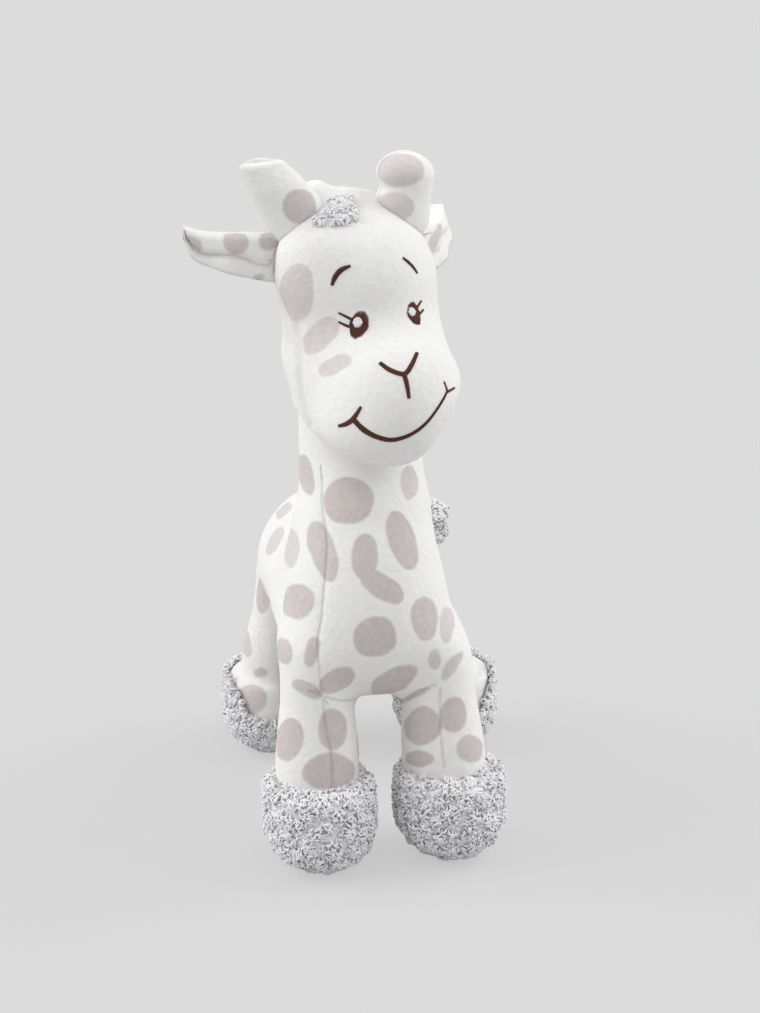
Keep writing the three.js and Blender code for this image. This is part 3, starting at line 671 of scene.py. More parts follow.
def line_offset(points, normals, line):
    """How far points are from a line on the skin, less than nothing on its right side."""
    offset = np.full(len(points), seam_reach)
    low, high = line.min(0) - seam_reach, line.max(0) + seam_reach
    close = np.nonzero(((points > low) & (points < high)).all(1))[0]
    for start, end in zip(line, line[1:]):
        way = end - start
        share = np.clip((points[close] - start) @ way / (way @ way), 0, 1)
        away = points[close] - start - share[:, None] * way
        distance = np.linalg.norm(away, axis=1)
        left = np.einsum("ij,ij->i", np.cross(normals[close], way), away) > 0
        nearer = distance < np.abs(offset[close])
        offset[close] = np.where(nearer, np.where(left, distance, -distance), offset[close])
    return offset


def nearer_of(first, second):
    """The smaller of two distances, with its sign."""
    return np.where(np.abs(first) < np.abs(second), first, second)


def traced(surface, pixels, spacing=2.0, lift=0.0):
    """A smooth line on a surface, through pixels of the picture."""
    path = smooth_path([on_surface(surface, x, y)[0] for x, y in pixels])
    count = max(2, int(path_length(path) / spacing))
    path, _ = spread_along(path, np.linspace(0, path_length(path), count))
    found = [surface.find_nearest(Vector(place)) for place in path]
    return np.array([place + lift * direction for place, direction, *_ in found])


def sunk(points, normals, seam):
    """Points pulled in along a seam."""
    seam = np.abs(seam)
    return points - groove_depth * np.exp(-((seam / groove_half_width) ** 2))[:, None] * normals


seen_seams = {
    "chest, right": [
        (321, 470), (322, 500), (325, 525), (327, 548), (325, 580), (322, 615),
        (318, 640), (319, 665), (323, 700), (325, 725), (331, 755), (332, 785),
    ],
    "chest, left": [(440, 692), (440, 712), (441, 735), (444, 765)],
    # The leg creases are traced with the seams, so their shade is painted as a dark line too.
    "leg crease, right": [(313, 693), (330, 699), (350, 701), (366, 698)],
    "leg crease, left": [(399, 700), (414, 695), (433, 686)],
}
back_seam_low = 84.0
belly_seam_apart = 21.0
belly_seam_reach = 42.0
leg_seam_height = 66.0
leg_seam_reach = 34.0
body_normals = vertex_normals(body_points, body_faces)
body_seam = np.full(len(body_points), seam_reach)
for pixels in seen_seams.values():
    line = traced(body_surface, pixels)
    body_seam = nearer_of(body_seam, line_offset(body_points, body_normals, line))

from_floor = body_points - floor_middle
on_back = (body_normals[:, 1] > 0.15) | ((body_normals[:, 2] > 0.3) & (from_floor[:, 1] > 5))
above_legs = from_floor[:, 2] > back_seam_low
back_seam = np.where(on_back & above_legs, from_floor[:, 0] + 0.5, seam_reach)
under_belly = (body_normals[:, 2] < -0.2) & (np.abs(from_floor[:, 1] - 15) < belly_seam_reach)
belly_seam = np.where(under_belly, np.abs(from_floor[:, 0]) - belly_seam_apart, seam_reach)
body_seam = nearer_of(body_seam, nearer_of(back_seam, belly_seam))
for leg_name, (foot_place, _) in feet.items():
    backward = body_normals[:, 1] if "front" in leg_name else np.abs(body_normals[:, 1])
    beside = np.linalg.norm((body_points - foot_place)[:, :2], axis=1) < leg_seam_reach
    on_leg = (backward > 0.3) & beside & (from_floor[:, 2] < leg_seam_height)
    body_seam = nearer_of(body_seam, np.where(on_leg, body_points[:, 0] - foot_place[0], seam_reach))
body_points = sunk(body_points, body_normals, body_seam)
body_normals = vertex_normals(body_points, body_faces)
print("skin points in a groove:", int((np.abs(body_seam) < groove_half_width).sum()))

# %% [markdown]
# ## Printed spots
#
# Each spot is an oval in the picture: its middle, its half width and half height in pixels, how far
# its top leans to the right in degrees, and how dark it is. Irregular spots are two ovals together.
# A point of the cloth is inside a spot where the camera would see it inside that oval. At the edge
# of a limb, the spot wraps round as far again. How deep a point lies in a spot is measured along
# the cloth, not in the picture, so the edge of a spot is as sharp on cloth that is seen from the
# side as on cloth that faces the camera.
#
# The head has one more thing that the picture gives: a fold in the right cheek, which is pressed in
# here.

# %% Spots that the picture shows
body_ovals = [
    (349, 500, 25, 24.5, 0, 1.0), (306, 475, 8, 21, -13, 0.9), (409, 484, 9, 18, 0, 0.7),
    (402.5, 541, 14, 32, -15, 1.0), (364, 556, 14.5, 23, 0, 1.0), (382.5, 586, 24, 13, 30, 1.0),
    (323, 552, 12.5, 32, -17, 0.9), (297, 601, 17.5, 17.5, 0, 0.9),
    (291, 548, 8, 20, 0, 0.45), (265, 591, 8.5, 25, 12, 0.8), (283, 510, 10, 10, 0, 0.5),
    (275, 540, 6, 16, 30, 0.5), (375, 637, 22, 20, 0, 1.0), (425, 618, 13, 22, -5, 0.9),
    (447, 625, 8, 19, 0, 0.6), (435, 660, 6, 11, 0, 0.7), (452, 666, 7, 19, 35, 0.7),
    (245, 641, 6, 16, -10, 0.7), (283, 652, 9, 14, -20, 0.9), (312, 652, 8, 15, 15, 0.9),
    (260, 673, 8, 6.5, 0, 0.8), (251, 699, 16, 15, 0, 0.8), (306, 689, 16, 7.5, 25, 0.9),
    (338, 680, 19, 11, -25, 1.0), (394, 680, 26, 12, -25, 1.0), (414, 695, 20, 3, -25, 0.8),
    (289, 740, 14, 22, 15, 1.0), (332, 728, 15, 20, 0, 1.0), (328, 772, 27, 18, 0, 1.0),
    (422, 726, 18, 19, 0, 1.0), (454, 715, 14, 18, 0, 1.0), (470, 749, 15, 14, 0, 0.9),
    (419, 759, 15, 8, 0, 1.0),
]
head_ovals = [
    (297, 293, 18, 28, 5, 0.5), (320, 336, 13, 23, 45, 0.5), (335, 365, 18, 8, -25, 0.5),
]
cheek_fold_pixels = [(296, 330), (299, 352), (299, 378), (302, 402), (309, 424)]
fold_depth = 2.2
fold_half_width = 3.0
no_spot = -20.0
spot_reach = 2.2
spot_wrap = 0.9
facing_away = -0.1


def printed(points, normals, surface, ovals):
    """How deep points lie in a spot, in millimetres, and how dark that spot is."""
    pixels = seen_at(points)
    depth = np.full(len(points), no_spot)
    dark = np.ones(len(points))
    for x, y, half_width, half_height, lean, darkness in ovals:
        place, direction = on_surface(surface, x, y)
        biggest = max(half_width, half_height) / pixels_per_mm
        wrap = spot_wrap * biggest
        offset = points - place
        close = np.linalg.norm(offset, axis=1) < spot_reach * biggest + 4
        near = np.nonzero(close & (normals @ direction > facing_away))[0]
        turned = math.radians(lean)
        dx, dy = (pixels[near] - (x, y)).T
        across = (dx * math.cos(turned) + dy * math.sin(turned)) / half_width
        along = (dx * math.sin(turned) - dy * math.cos(turned)) / half_height
        how_far = np.hypot(across, along) + 1e-6
        ray = pixel_ray(x, y)
        deep = offset[near] @ ray
        beyond = np.maximum(np.abs(deep) - wrap, 0) / wrap
        share = np.hypot(how_far, beyond)
        rightward = across * math.cos(turned) / half_width + along * math.sin(turned) / half_height
        downward = across * math.sin(turned) / half_width - along * math.cos(turned) / half_height
        slope = rightward[:, None] * camera_axes[:, 0] - downward[:, None] * camera_axes[:, 1]
        slope = pixels_per_mm * slope + (beyond * np.sign(deep) / wrap)[:, None] * ray
        slope -= np.einsum("ij,ij->i", slope, normals[near])[:, None] * normals[near]
        inside = (1 - share) * share / np.maximum(np.linalg.norm(slope, axis=1), 1e-7)
        inside = np.clip(inside, no_spot, -no_spot)
        inside = np.minimum(inside, (normals[near] @ direction - facing_away) * 15)
        darker = inside > depth[near]
        depth[near] = np.where(darker, inside, depth[near])
        dark[near] = np.where(darker & (inside > -2), darkness, dark[near])
    return depth, dark


body_spot, body_dark = printed(body_points, body_normals, body_surface, body_ovals)
cheek_fold = line_offset(head_points, head_normals, traced(head_surface, cheek_fold_pixels))
head_points -= fold_depth * np.exp(-((cheek_fold / fold_half_width) ** 2))[:, None] * head_normals
head_normals = vertex_normals(head_points, head_faces)
head_spot, head_dark = printed(head_points, head_normals, head_surface, head_ovals)
print("spots from the picture:", len(body_ovals), "on the body and", len(head_ovals), "on the head")

# %% [markdown]
# ## The side that the picture can't show
#
# The picture shows the toy from one side only. On the rest, spots of the same sizes are scattered
# from a fixed seed. A place is tried at random, and is kept where it leaves a gap to every other
# spot and to the cloth that shows.

# %% Spots on the far side
spot_gap = 4.5
spot_half_widths = 6, 10
spot_half_heights = 7, 13
grazing = 0.12
above_skin = 1.5
random = np.random.default_rng(7)


def unseen(points, normals, surfaces):
    """Whether each point is hidden from the camera."""
    to_camera = camera_place - points
    to_camera /= np.linalg.norm(to_camera, axis=1)[:, None]
    hidden = np.einsum("ij,ij->i", normals, to_camera) < grazing
    for index in np.nonzero(~hidden)[0]:
        start = Vector(points[index] + above_skin * normals[index])
        way = Vector(to_camera[index])
        hidden[index] = any(surface.ray_cast(start, way)[0] is not None for surface in surfaces)
    return hidden


def scattered(points, normals, depth, hidden, allowed, tries):
    """Adds more spots to the depths, where the camera sees none, and returns how many."""
    seen = KDTree(int((~hidden).sum()))
    for index, point in enumerate(points[~hidden]):
        seen.insert(point, index)
    seen.balance()
    placed = 0
    for index in random.permutation(np.nonzero(hidden & allowed)[0])[:tries]:
        wide, tall = random.uniform(*spot_half_widths), random.uniform(*spot_half_heights)
        turn, offset = random.uniform(0, math.pi), points - points[index]
        away = np.linalg.norm(offset, axis=1)
        biggest = max(wide, tall)
        if depth[away < biggest + spot_gap].max() > -1 or seen.find(points[index])[2] < 0.75 * biggest:
            continue
        direction = normals[index]
        first = np.cross(direction, (math.cos(turn), math.sin(turn), 0.3))
        first /= np.linalg.norm(first)
        second = np.cross(direction, first)
        near = np.nonzero((away < 2 * biggest) & (normals @ direction > 0.05))[0]
        u, v = offset[near] @ first, offset[near] @ second
        angle = np.arctan2(v, u)
        radius = 1 / np.hypot(np.cos(angle) / wide, np.sin(angle) / tall)
        depth[near] = np.maximum(depth[near], radius - away[near])
        placed += 1
    return placed


hidden = unseen(body_points, body_normals, [body_surface, head_surface])
above_feet = from_floor[:, 2] > ankle_height + 8
placed_spots = scattered(body_points, body_normals, body_spot, hidden, above_feet, 2500)
from_neck = head_points - neck_top
behind_face = from_neck @ np.array(head_frame.to_3x3())[:, 1] > -14
behind_face &= (head_points[:, 2] > neck_top[2] - 5) & (head_points[:, 2] < neck_top[2] + 62)
hidden = unseen(head_points, head_normals, [head_surface])
placed_spots += scattered(head_points, head_normals, head_spot, hidden, behind_face, 900)
print("more spots on the far side:", placed_spots)

# %% [markdown]
# ## Pile cloth
#
# Up close, the cloth is a pile of very short fibres. It scatters light more at its edges, which is
# what the sheen does, and its fibres lie in small clumps, which the fine bump and a faint mottling
# show. The spots are printed, so their edge follows the fibres and is never quite sharp. Along seams,
# creases and joins the colour is darkened as painted shade. The same cloth serves the plain face,
# where no spot lies.

# %% Materials of cloth
def node(tree, kind, **settings):
    """A shader node with some of its settings."""
    made = tree.nodes.new(kind)
    for setting, value in settings.items():
        setattr(made, setting, value)
    return made


def noise(tree, size, detail, seed):
    """Noise whose grains are about this many millimetres across."""
    grain = node(tree, "ShaderNodeTexNoise")
    grain.inputs["Scale"].default_value = metre / size
    grain.inputs["Detail"].default_value = detail
    place = node(tree, "ShaderNodeVectorMath", operation="ADD")
    place.inputs[1].default_value = (seed, 0.37 * seed, -0.61 * seed)
    tree.links.new(node(tree, "ShaderNodeTexCoord").outputs["Object"], place.inputs[0])
    tree.links.new(place.outputs["Vector"], grain.inputs["Vector"])
    return grain.outputs["Fac"]


def scaled(tree, value, low, high, to_low, to_high, soft=False):
    """A value stretched from one range to another."""
    stretch = node(tree, "ShaderNodeMapRange", interpolation_type="SMOOTHSTEP" if soft else "LINEAR")
    for socket, number in zip(("From Min", "From Max", "To Min", "To Max"), (low, high, to_low, to_high)):
        stretch.inputs[socket].default_value = number
    tree.links.new(value, stretch.inputs["Value"])
    return stretch.outputs["Result"]


def combined(tree, operation, first, second):
    """Two values put together, of which the second may be a plain number."""
    sum_of = node(tree, "ShaderNodeMath", operation=operation)
    tree.links.new(first, sum_of.inputs[0])
    if isinstance(second, (int, float)):
        sum_of.inputs[1].default_value = second
    else:
        tree.links.new(second, sum_of.inputs[1])
    return sum_of.outputs["Value"]


def marked(tree, mark):
    """A number that the points of the mesh carry."""
    return node(tree, "ShaderNodeAttribute", attribute_name=mark).outputs["Fac"]


def blended(tree, share, first, second):
    """From the first colour to the second. Either may come from another node."""
    mix = node(tree, "ShaderNodeMix", data_type="RGBA")
    tree.links.new(share, mix.inputs["Factor"])
    for socket, colour in (("A", first), ("B", second)):
        target = next(s for s in mix.inputs if s.name == socket and s.type == "RGBA")
        if isinstance(colour, tuple):
            target.default_value = (*colour, 1)
        else:
            tree.links.new(colour, target)
    return next(s for s in mix.outputs if s.type == "RGBA")


def shaded(tree, colour, brightness):
    """A colour made lighter or darker by a value."""
    scale = node(tree, "ShaderNodeVectorMath", operation="SCALE")
    tree.links.new(colour, scale.inputs[0])
    tree.links.new(brightness, scale.inputs["Scale"])
    return scale.outputs["Vector"]


def raised(tree, height, distance, strength=1.0, under=None):
    """A bump of this many millimetres."""
    bump = node(tree, "ShaderNodeBump")
    bump.inputs["Strength"].default_value = strength
    bump.inputs["Distance"].default_value = distance / metre
    tree.links.new(height, bump.inputs["Height"])
    if under is not None:
        tree.links.new(under, bump.inputs["Normal"])
    return bump.outputs["Normal"]


def new_material(name, roughness, sheen, sheen_roughness=0.4, specular=0.2):
    """A material whose plain numbers are set on its shader."""
    material = bpy.data.materials.new(name)
    material.use_nodes = True
    shader = material.node_tree.nodes["Principled BSDF"]
    shader.inputs["Roughness"].default_value = roughness
    shader.inputs["Sheen Weight"].default_value = sheen
    shader.inputs["Sheen Roughness"].default_value = sheen_roughness
    shader.inputs["Sheen Tint"].default_value = (1, 0.99, 0.98, 1)
    shader.inputs["Specular IOR Level"].default_value = specular
    return material, material.node_tree, shader


warm_white = (0.85, 0.848, 0.832)
spot_taupe = (0.585, 0.525, 0.52)
spot_pale = (0.75, 0.72, 0.715)


def pile_cloth(name, ground):
    """Short pile cloth, printed with spots."""
    material, tree, shader = new_material(name, 0.95, 0.12)
    clumps = noise(tree, 2.6, 4, 3)
    fibres = noise(tree, 0.55, 3, 11)
    wide = noise(tree, 38, 2, 5)
    colour = blended(tree, scaled(tree, wide, 0.3, 0.7, 0, 1), ground, tuple(0.985 * c for c in ground))
    wobble = scaled(tree, noise(tree, 15, 1, 23), 0.25, 0.75, -1.0, 1.0)
    fray = scaled(tree, fibres, 0.25, 0.75, -0.25, 0.25)
    depth = combined(tree, "ADD", combined(tree, "ADD", marked(tree, "spot"), wobble), fray)
    inside = scaled(tree, depth, -0.8, 0.8, 0, 1, soft=True)
    print_colour = blended(tree, marked(tree, "dark"), spot_pale, spot_taupe)
    worn = blended(tree, scaled(tree, clumps, 0.35, 0.75, 0, 0.12), print_colour, ground)
    colour = blended(tree, inside, colour, worn)
    clump_tone = scaled(tree, clumps, 0.25, 0.75, 0.965, 1.015)
    mottling = combined(tree, "MULTIPLY", clump_tone, scaled(tree, fibres, 0.2, 0.8, 0.95, 1.03))
    # Near a seam, a crease or a join the colour is darkened to 0.85 of itself: painted shade in the
    # groove.
    beyond = combined(tree, "SUBTRACT", marked(tree, "seam_away"), 1.3)
    from_seam = combined(tree, "MAXIMUM", combined(tree, "ABSOLUTE", marked(tree, "seam"), 0), beyond)
    painted_groove_shade = scaled(tree, from_seam, 0.1, 0.9, 0.85, 1, soft=True)
    colour = shaded(tree, colour, combined(tree, "MULTIPLY", mottling, painted_groove_shade))
    tree.links.new(colour, shader.inputs["Base Color"])
    soft_bump = raised(tree, clumps, 0.8, 0.65)
    fine_bump = raised(tree, fibres, 0.22, 0.6, soft_bump)
    seam_bump = raised(tree, scaled(tree, from_seam, 0, 1.2, 0, 1, soft=True), 0.35, 1.0, fine_bump)
    tree.links.new(seam_bump, shader.inputs["Normal"])
    return material


printed_pile = pile_cloth("printed pile cloth", warm_white)
print("made:", printed_pile.name)

# %% [markdown]
# ## Curly terry and thread
#
# The terry of the feet and mane is a base cloth with a thick growth of small yarn loops. The base
# is darker, because little light reaches it between the loops. Each loop is a real curl of yarn in
# the mesh, and has its own tone. The embroidery is shiny rayon thread: smoother than cloth,
# brighter along one direction, and dark brown.

# %% Materials of terry and thread
def terry_base(name):
    """The cloth under the loops."""
    material, tree, shader = new_material(name, 1.0, 0.2)
    loops = noise(tree, 2.2, 5, 31)
    colour = blended(tree, scaled(tree, loops, 0.35, 0.65, 0, 1), (0.77, 0.76, 0.785), (0.91, 0.9, 0.925))
    tree.links.new(colour, shader.inputs["Base Color"])
    tree.links.new(raised(tree, loops, 1.4, 0.9), shader.inputs["Normal"])
    return material


def curl_yarn(name):
    """The loops, each with a tone of its own."""
    material, tree, shader = new_material(name, 0.9, 0.35)
    tone = marked(tree, "tone")
    fluff = noise(tree, 0.5, 3, 17)
    colour = blended(tree, tone, (0.78, 0.77, 0.797), (0.93, 0.925, 0.947))
    colour = shaded(tree, colour, scaled(tree, fluff, 0.25, 0.75, 0.9, 1.06))
    tree.links.new(colour, shader.inputs["Base Color"])
    tree.links.new(raised(tree, fluff, 0.15, 0.7), shader.inputs["Normal"])
    return material


def thread(name, dark, light, roughness):
    """Satin-stitched thread."""
    material, tree, shader = new_material(name, roughness, 0.05, specular=0.35)
    twist = noise(tree, 0.35, 3, 41)
    uneven = noise(tree, 2.0, 2, 43)
    uneven_share = scaled(tree, uneven, 0.3, 0.7, 0.4, 1)
    share = combined(tree, "MULTIPLY", scaled(tree, twist, 0.3, 0.7, 0.2, 1), uneven_share)
    tree.links.new(blended(tree, share, dark, light), shader.inputs["Base Color"])
    tree.links.new(raised(tree, twist, 0.08, 0.6), shader.inputs["Normal"])
    shader.inputs["Anisotropic"].default_value = 0.4
    return material


grey_terry = terry_base("terry base")
grey_yarn = curl_yarn("terry loops")
brown_thread = thread("brown thread", (0.045, 0.009, 0.004), (0.15, 0.04, 0.018), 0.5)
white_thread = thread("white thread", (0.92, 0.92, 0.92), (0.98, 0.98, 0.98), 0.4)
print("terry, loops and two threads")

# %% [markdown]
# ## Body pieces
#
# The toy's legs swing a little and its neck bends, so the skin is cut into pieces where they join:
# the trunk, four legs and the neck. The cuts don't show, because both sides keep the shading of
# the uncut skin.

# %% Cut the body skin
neck_cut = floor_middle[2] + 150
leg_cut = floor_middle[2] + 68

body_marks = (body_normals, body_seam, body_spot, body_dark)
face_middles = body_points[body_faces].mean(1)
on_neck = face_middles[:, 2] > neck_cut
leg_starts = np.array([place[:2] for place, _ in feet.values()])
nearest_leg = np.linalg.norm(face_middles[:, None, :2] - leg_starts, axis=2).argmin(1)
on_legs = face_middles[:, 2] < leg_cut


def cloth_piece(name, points, faces, chosen, marks):
    """A piece of printed cloth, cut from a skin with its marks."""
    points, faces, normals, seam, spot, dark = part_of(points, faces, chosen, *marks)
    return piece_of(name, points, faces, normals, seam=seam, spot=spot, dark=dark)


def bent(piece):
    """A piece with its placement baked into its points."""
    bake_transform(piece)


trunk_skin = cloth_piece("trunk_skin", body_points, body_faces, ~on_neck & ~on_legs, body_marks)
trunk_nodes = nodes_with("torso_", "chest_", "belly_")
dressed(trunk_skin, printed_pile, trunk_nodes, "torso")

neck_skin = cloth_piece("neck_skin", body_points, body_faces, on_neck, body_marks)
dressed(neck_skin, printed_pile, nodes_with("neck_"))
bent(neck_skin)
for index, leg_name in enumerate(feet):
    leg = f"leg_{leg_name}"
    on_leg = on_legs & (nearest_leg == index)
    leg_skin = cloth_piece(f"{leg}_skin", body_points, body_faces, on_leg, body_marks)
    dressed(leg_skin, printed_pile, nodes_with(f"{leg}_"))
    bent(leg_skin)
print("trunk, neck and", len(feet), "legs")

# %% [markdown]
# ## The head's piece
#
# The head turns and doesn't bend, so its skin is one piece that rides on the head. A seam runs down
# the back of it, where the two side panels meet. Nothing of it shows in the picture.

# %% Head piece
back_seam_top = 45.0
back_seam_front = 20.0

in_head = in_head_frame(head_points)
at_back = (in_head[:, 2] < back_seam_top) & (in_head[:, 1] > back_seam_front)
head_seam = np.where(at_back, in_head[:, 0], seam_reach)
head_points = sunk(head_points, head_normals, head_seam * 1.6)
head_normals = vertex_normals(head_points, head_faces)
head_marks = (head_normals, head_seam, head_spot, head_dark)
all_faces = np.ones(len(head_faces), bool)
head_skin = cloth_piece("head_skin", head_points, head_faces, all_faces, head_marks)
dressed(head_skin, printed_pile, nodes_with("head_", "face_"), "head")
print("head:", len(head_points), "points")

# %% [markdown]
# ## Terry loops
#
# A terry foot looks like a crowd of little curls. They could be a particle system, but loops that
# are real geometry keep their place in every view and every pose. Each is a short coil of yarn, a
# bit more than one turn, with a random direction and size. The loops are strewn at random and then
# pushed apart, so that no cloth is left bare. Real terry gathers in tufts with dark between them,
# so each loop is drawn a little towards the middle of its tuft, stands higher near it and shares
# some of the tuft's tone.

# %% Yarn loops
loop_steps = 8
loop_sides = 4
loop_turn = 2.1 * math.pi
loop_radii = 0.8, 1.5
loop_tilt = 0.7
loop_climb = 0.6
loop_heights = -0.2, 0.3
yarn_radius = 0.58
loops_a_tuft = 15
tuft_size = 3.4
tuft_pull = 0.2
tuft_height = 0.95
tuft_tone = 0.4
loop_neighbours = 7
place_rounds, place_push = 3, 0.15
middle_rounds, middle_push = 6, 0.6
end_angle = 0.35


def tubes(lines, radius, sides):
    """Round tubes along many lines of as many points each, as one list of points and one of faces."""
    count, steps = lines.shape[:2]
    ways = np.gradient(lines, axis=1)
    ways /= np.linalg.norm(ways, axis=2)[..., None]
    middles = lines.mean(1)[:, None]
    across = np.cross(ways, np.roll(middles, 1, axis=0) - middles + (0.1, 0.2, 0.3))
    across /= np.linalg.norm(across, axis=2)[..., None]
    over = np.cross(ways, across)
    angles = 2 * math.pi * np.arange(sides) / sides
    round_it = np.cos(angles)[:, None] * across[:, :, None] + np.sin(angles)[:, None] * over[:, :, None]
    thin_ends = np.sin(np.linspace(end_angle, math.pi - end_angle, steps)) ** 0.35
    points = lines[:, :, None] + radius * thin_ends[:, None, None] * round_it
    step, side = np.meshgrid(np.arange(steps - 1), np.arange(sides), indexing="ij")
    here, ahead = step * sides, (step + 1) * sides
    after = (side + 1) % sides
    faces = np.stack([here + side, ahead + side, ahead + after, here + after], -1)
    faces = (np.arange(count) * steps * sides)[:, None, None] + faces.reshape(1, -1, 4)
    return points.reshape(-1, 3), faces.reshape(-1, 4)


def spread_over(points, faces, normals, count, wanted):
    """Random places on the faces whose middles are wanted, as many on each as its area asks."""
    chosen = faces[wanted]
    a, b, c, d = (points[chosen[:, corner]] for corner in (0, 1, 2, -1))
    areas = np.linalg.norm(np.cross(c - a, d - b), axis=1)
    picked = random.choice(len(chosen), count, p=areas / areas.sum())
    shares = random.dirichlet(np.ones(faces.shape[1]), count)
    corners = chosen[picked]
    places = np.einsum("ij,ijk->ik", shares, points[corners])
    directions = np.einsum("ij,ijk->ik", shares, normals[corners])
    return places, directions / np.linalg.norm(directions, axis=1)[:, None]


def nearest_to(places, others, count):
    """For each place, the numbers of the nearest of some other places."""
    tree = KDTree(len(others))
    for number, other in enumerate(others):
        tree.insert(Vector(other), number)
    tree.balance()
    return np.array([[number for _, number, _ in tree.find_n(Vector(place), count)] for place in places])


def evened(places, directions, rounds, longest_push):
    """Places on a surface, pushed away from their neighbours so that they cover it evenly."""
    for _ in range(rounds):
        away = places - places[nearest_to(places, places, loop_neighbours)].mean(1)
        away -= np.einsum("ij,ij->i", away, directions)[:, None] * directions
        far = np.linalg.norm(away, axis=1)[:, None]
        places = places + away * np.minimum(0.5, longest_push / np.maximum(far, 1e-9))
    return places


def loops_over(name, points, faces, normals, count, wanted):
    """A piece made of yarn loops that stand on a surface."""
    places, directions = spread_over(points, faces, normals, count, wanted)
    places = evened(places, directions, place_rounds, place_push)
    firsts = slice(None, None, loops_a_tuft)
    middles = evened(places[firsts], directions[firsts], middle_rounds, middle_push)
    tuft = nearest_to(places, middles, 1)[:, 0]
    to_middle = middles[tuft] - places
    places = places + tuft_pull * to_middle
    crown = 1 - np.minimum(np.linalg.norm(to_middle, axis=1)[:, None] / tuft_size, 1) ** 2
    wild = random.normal(size=(count, 3))
    flat = np.cross(directions, wild)
    flat /= np.linalg.norm(flat, axis=1)[:, None]
    axes = flat + loop_tilt * random.uniform(-1, 1, (count, 1)) * directions
    axes /= np.linalg.norm(axes, axis=1)[:, None]
    first = np.cross(axes, directions)
    first /= np.linalg.norm(first, axis=1)[:, None]
    second = np.cross(axes, first)
    size = random.uniform(*loop_radii, (count, 1, 1))
    start = random.uniform(0, 2 * math.pi, (count, 1))
    angles = start + np.linspace(0, loop_turn, loop_steps)
    circle = np.cos(angles)[..., None] * first[:, None] + np.sin(angles)[..., None] * second[:, None]
    along = np.linspace(-loop_climb, loop_climb, loop_steps)[:, None] * axes[:, None]
    height = random.uniform(*loop_heights, (count, 1)) + tuft_height * crown
    lines = (places + height * directions)[:, None] + size * circle + along
    loop_points, loop_faces = tubes(lines, yarn_radius, loop_sides)
    tone = random.beta(2.2, 1.6, count)
    tone = (1 - tuft_tone) * tone + tuft_tone * tone[firsts][tuft]
    tone = np.repeat(tone, loop_steps * loop_sides)
    return dressed(piece_of(name, loop_points, loop_faces, tone=tone), grey_yarn)


# %% [markdown]
# ## Terry feet
#
# A foot is a soft boot that is sewn to the leg at the ankle, with a round sole sewn under it. It
# leans forward like a real hoof, spreads a little under the weight and is flat on the floor. The
# leg goes down into it, so the top of the boot is a rounded shoulder around the leg. On a hind foot
# the terry is cut low in front, and the leg's own cloth comes down over the instep to meet it.

# %% Feet
sole_height = 5.0
sole_crease = 1.4
crease_half_width = 1.5
instep_drop = 15.0
loops_a_foot = 3500


def creased(points, faces):
    """A boot with the crease of its sole seam, and its normals."""
    points, faces, normals = with_normals((points, faces))
    height = points[:, 2] - floor_middle[2]
    crease = sole_crease * np.exp(-(((height - sole_height) / crease_half_width) ** 2))
    return points - crease[:, None] * normals * (1, 1, 0), faces, normals


def terry_top(name, places):
    """How high the terry reaches round a foot. The cloth of a hind leg comes down over the instep."""
    place, _ = feet[name]
    if "front" in name:
        return np.full(len(places), ankle_height)
    outside = -1 if "right" in name else 1
    inward = -outside * (places[:, 0] - place[0]) / foot_half_width
    forward = (place[1] - places[:, 1]) / foot_half_length
    lower = np.clip(2.2 * (inward + 1), 0, 1) * np.clip(1.6 * forward + 0.75, 0, 1)
    return ankle_height - 3 - instep_drop * eased(lower)


for leg_name in feet:
    foot, body = f"foot_{leg_name}", f"leg_{leg_name}"
    points, faces, normals = creased(*foot_form(leg_name, loop_depth, 0.15))
    face_middles = points[faces].mean(1)
    middles = face_middles[:, 2] - floor_middle[2]
    covered = middles < terry_top(leg_name, face_middles)
    in_sole = middles < sole_height
    for part, chosen, padding in (("upper", ~in_sole & covered, 0.8), ("sole", in_sole, None)):
        cut_points, cut_faces, cut_normals = part_of(points, faces, chosen, normals)
        boot = piece_of(f"{foot}_{part}_cloth", cut_points, cut_faces, cut_normals)
        dressed(boot, grey_terry, [f"{foot}_{part}"], body)
    can_grow = covered & ((normals[faces].mean(1)[:, 2] > -0.75) | (middles > sole_height / 2))
    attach(loops_over(f"{foot}_loops", points, faces, normals, loops_a_foot, can_grow), body)
print("feet:", len(feet), "with", loops_a_foot, "loops each")

# %% [markdown]
# ## Horns
#
# Each horn is a small stuffed tube of printed cloth with a front and a back panel. The right one is
# pressed flat towards its tip, where a seam closes it on a slant. The left one is rounder, leans
# the other way and has a kink where it was pushed in.

# %% Horns
horn_root_radius = 10.4
horns = {
    "right": {
        "place": (-19.3, -3, 66.4),
        "lean": math.radians(-30),
        "length": 37.5,
        "girths": [(0, 12.2, 11), (0.4, 12.4, 10.4), (0.72, 10.8, 8.2), (0.93, 8.9, 4.8), (1, 8.2, 3.2)],
        "dome": 4.0,
        "ovals": [(299, 206, 17, 18, 30, 0.95)],
    },
    "left": {
        "place": (21.5, -5, 67),
        "lean": math.radians(9),
        "length": 27.0,
        "girths": [(0, 12, 11.4), (0.5, 11.6, 11), (0.78, 12.2, 11.6), (1, 12, 11.4)],
        "dome": 9.5,
        "ovals": [(401, 170, 24, 17, 0, 0.55), (395, 207, 19.5, 14, 0, 0.6), (433, 217, 4, 6, 0, 0.6)],
    },
}
tip_slant = math.tan(math.radians(31))
tip_bend = 0.8
tip_groove = 0.35
kink_depth = 1.9
kink_height = 12.0
kink_half_width = 3.0


def gap_to_head(points):
    """How far points are from the head's skin. Near it the cloth is darkened as painted shade, where a
    horn or an ear meets the head.
    """
    return np.array([min(seam_reach, head_surface.find_nearest(Vector(point))[3]) for point in points])


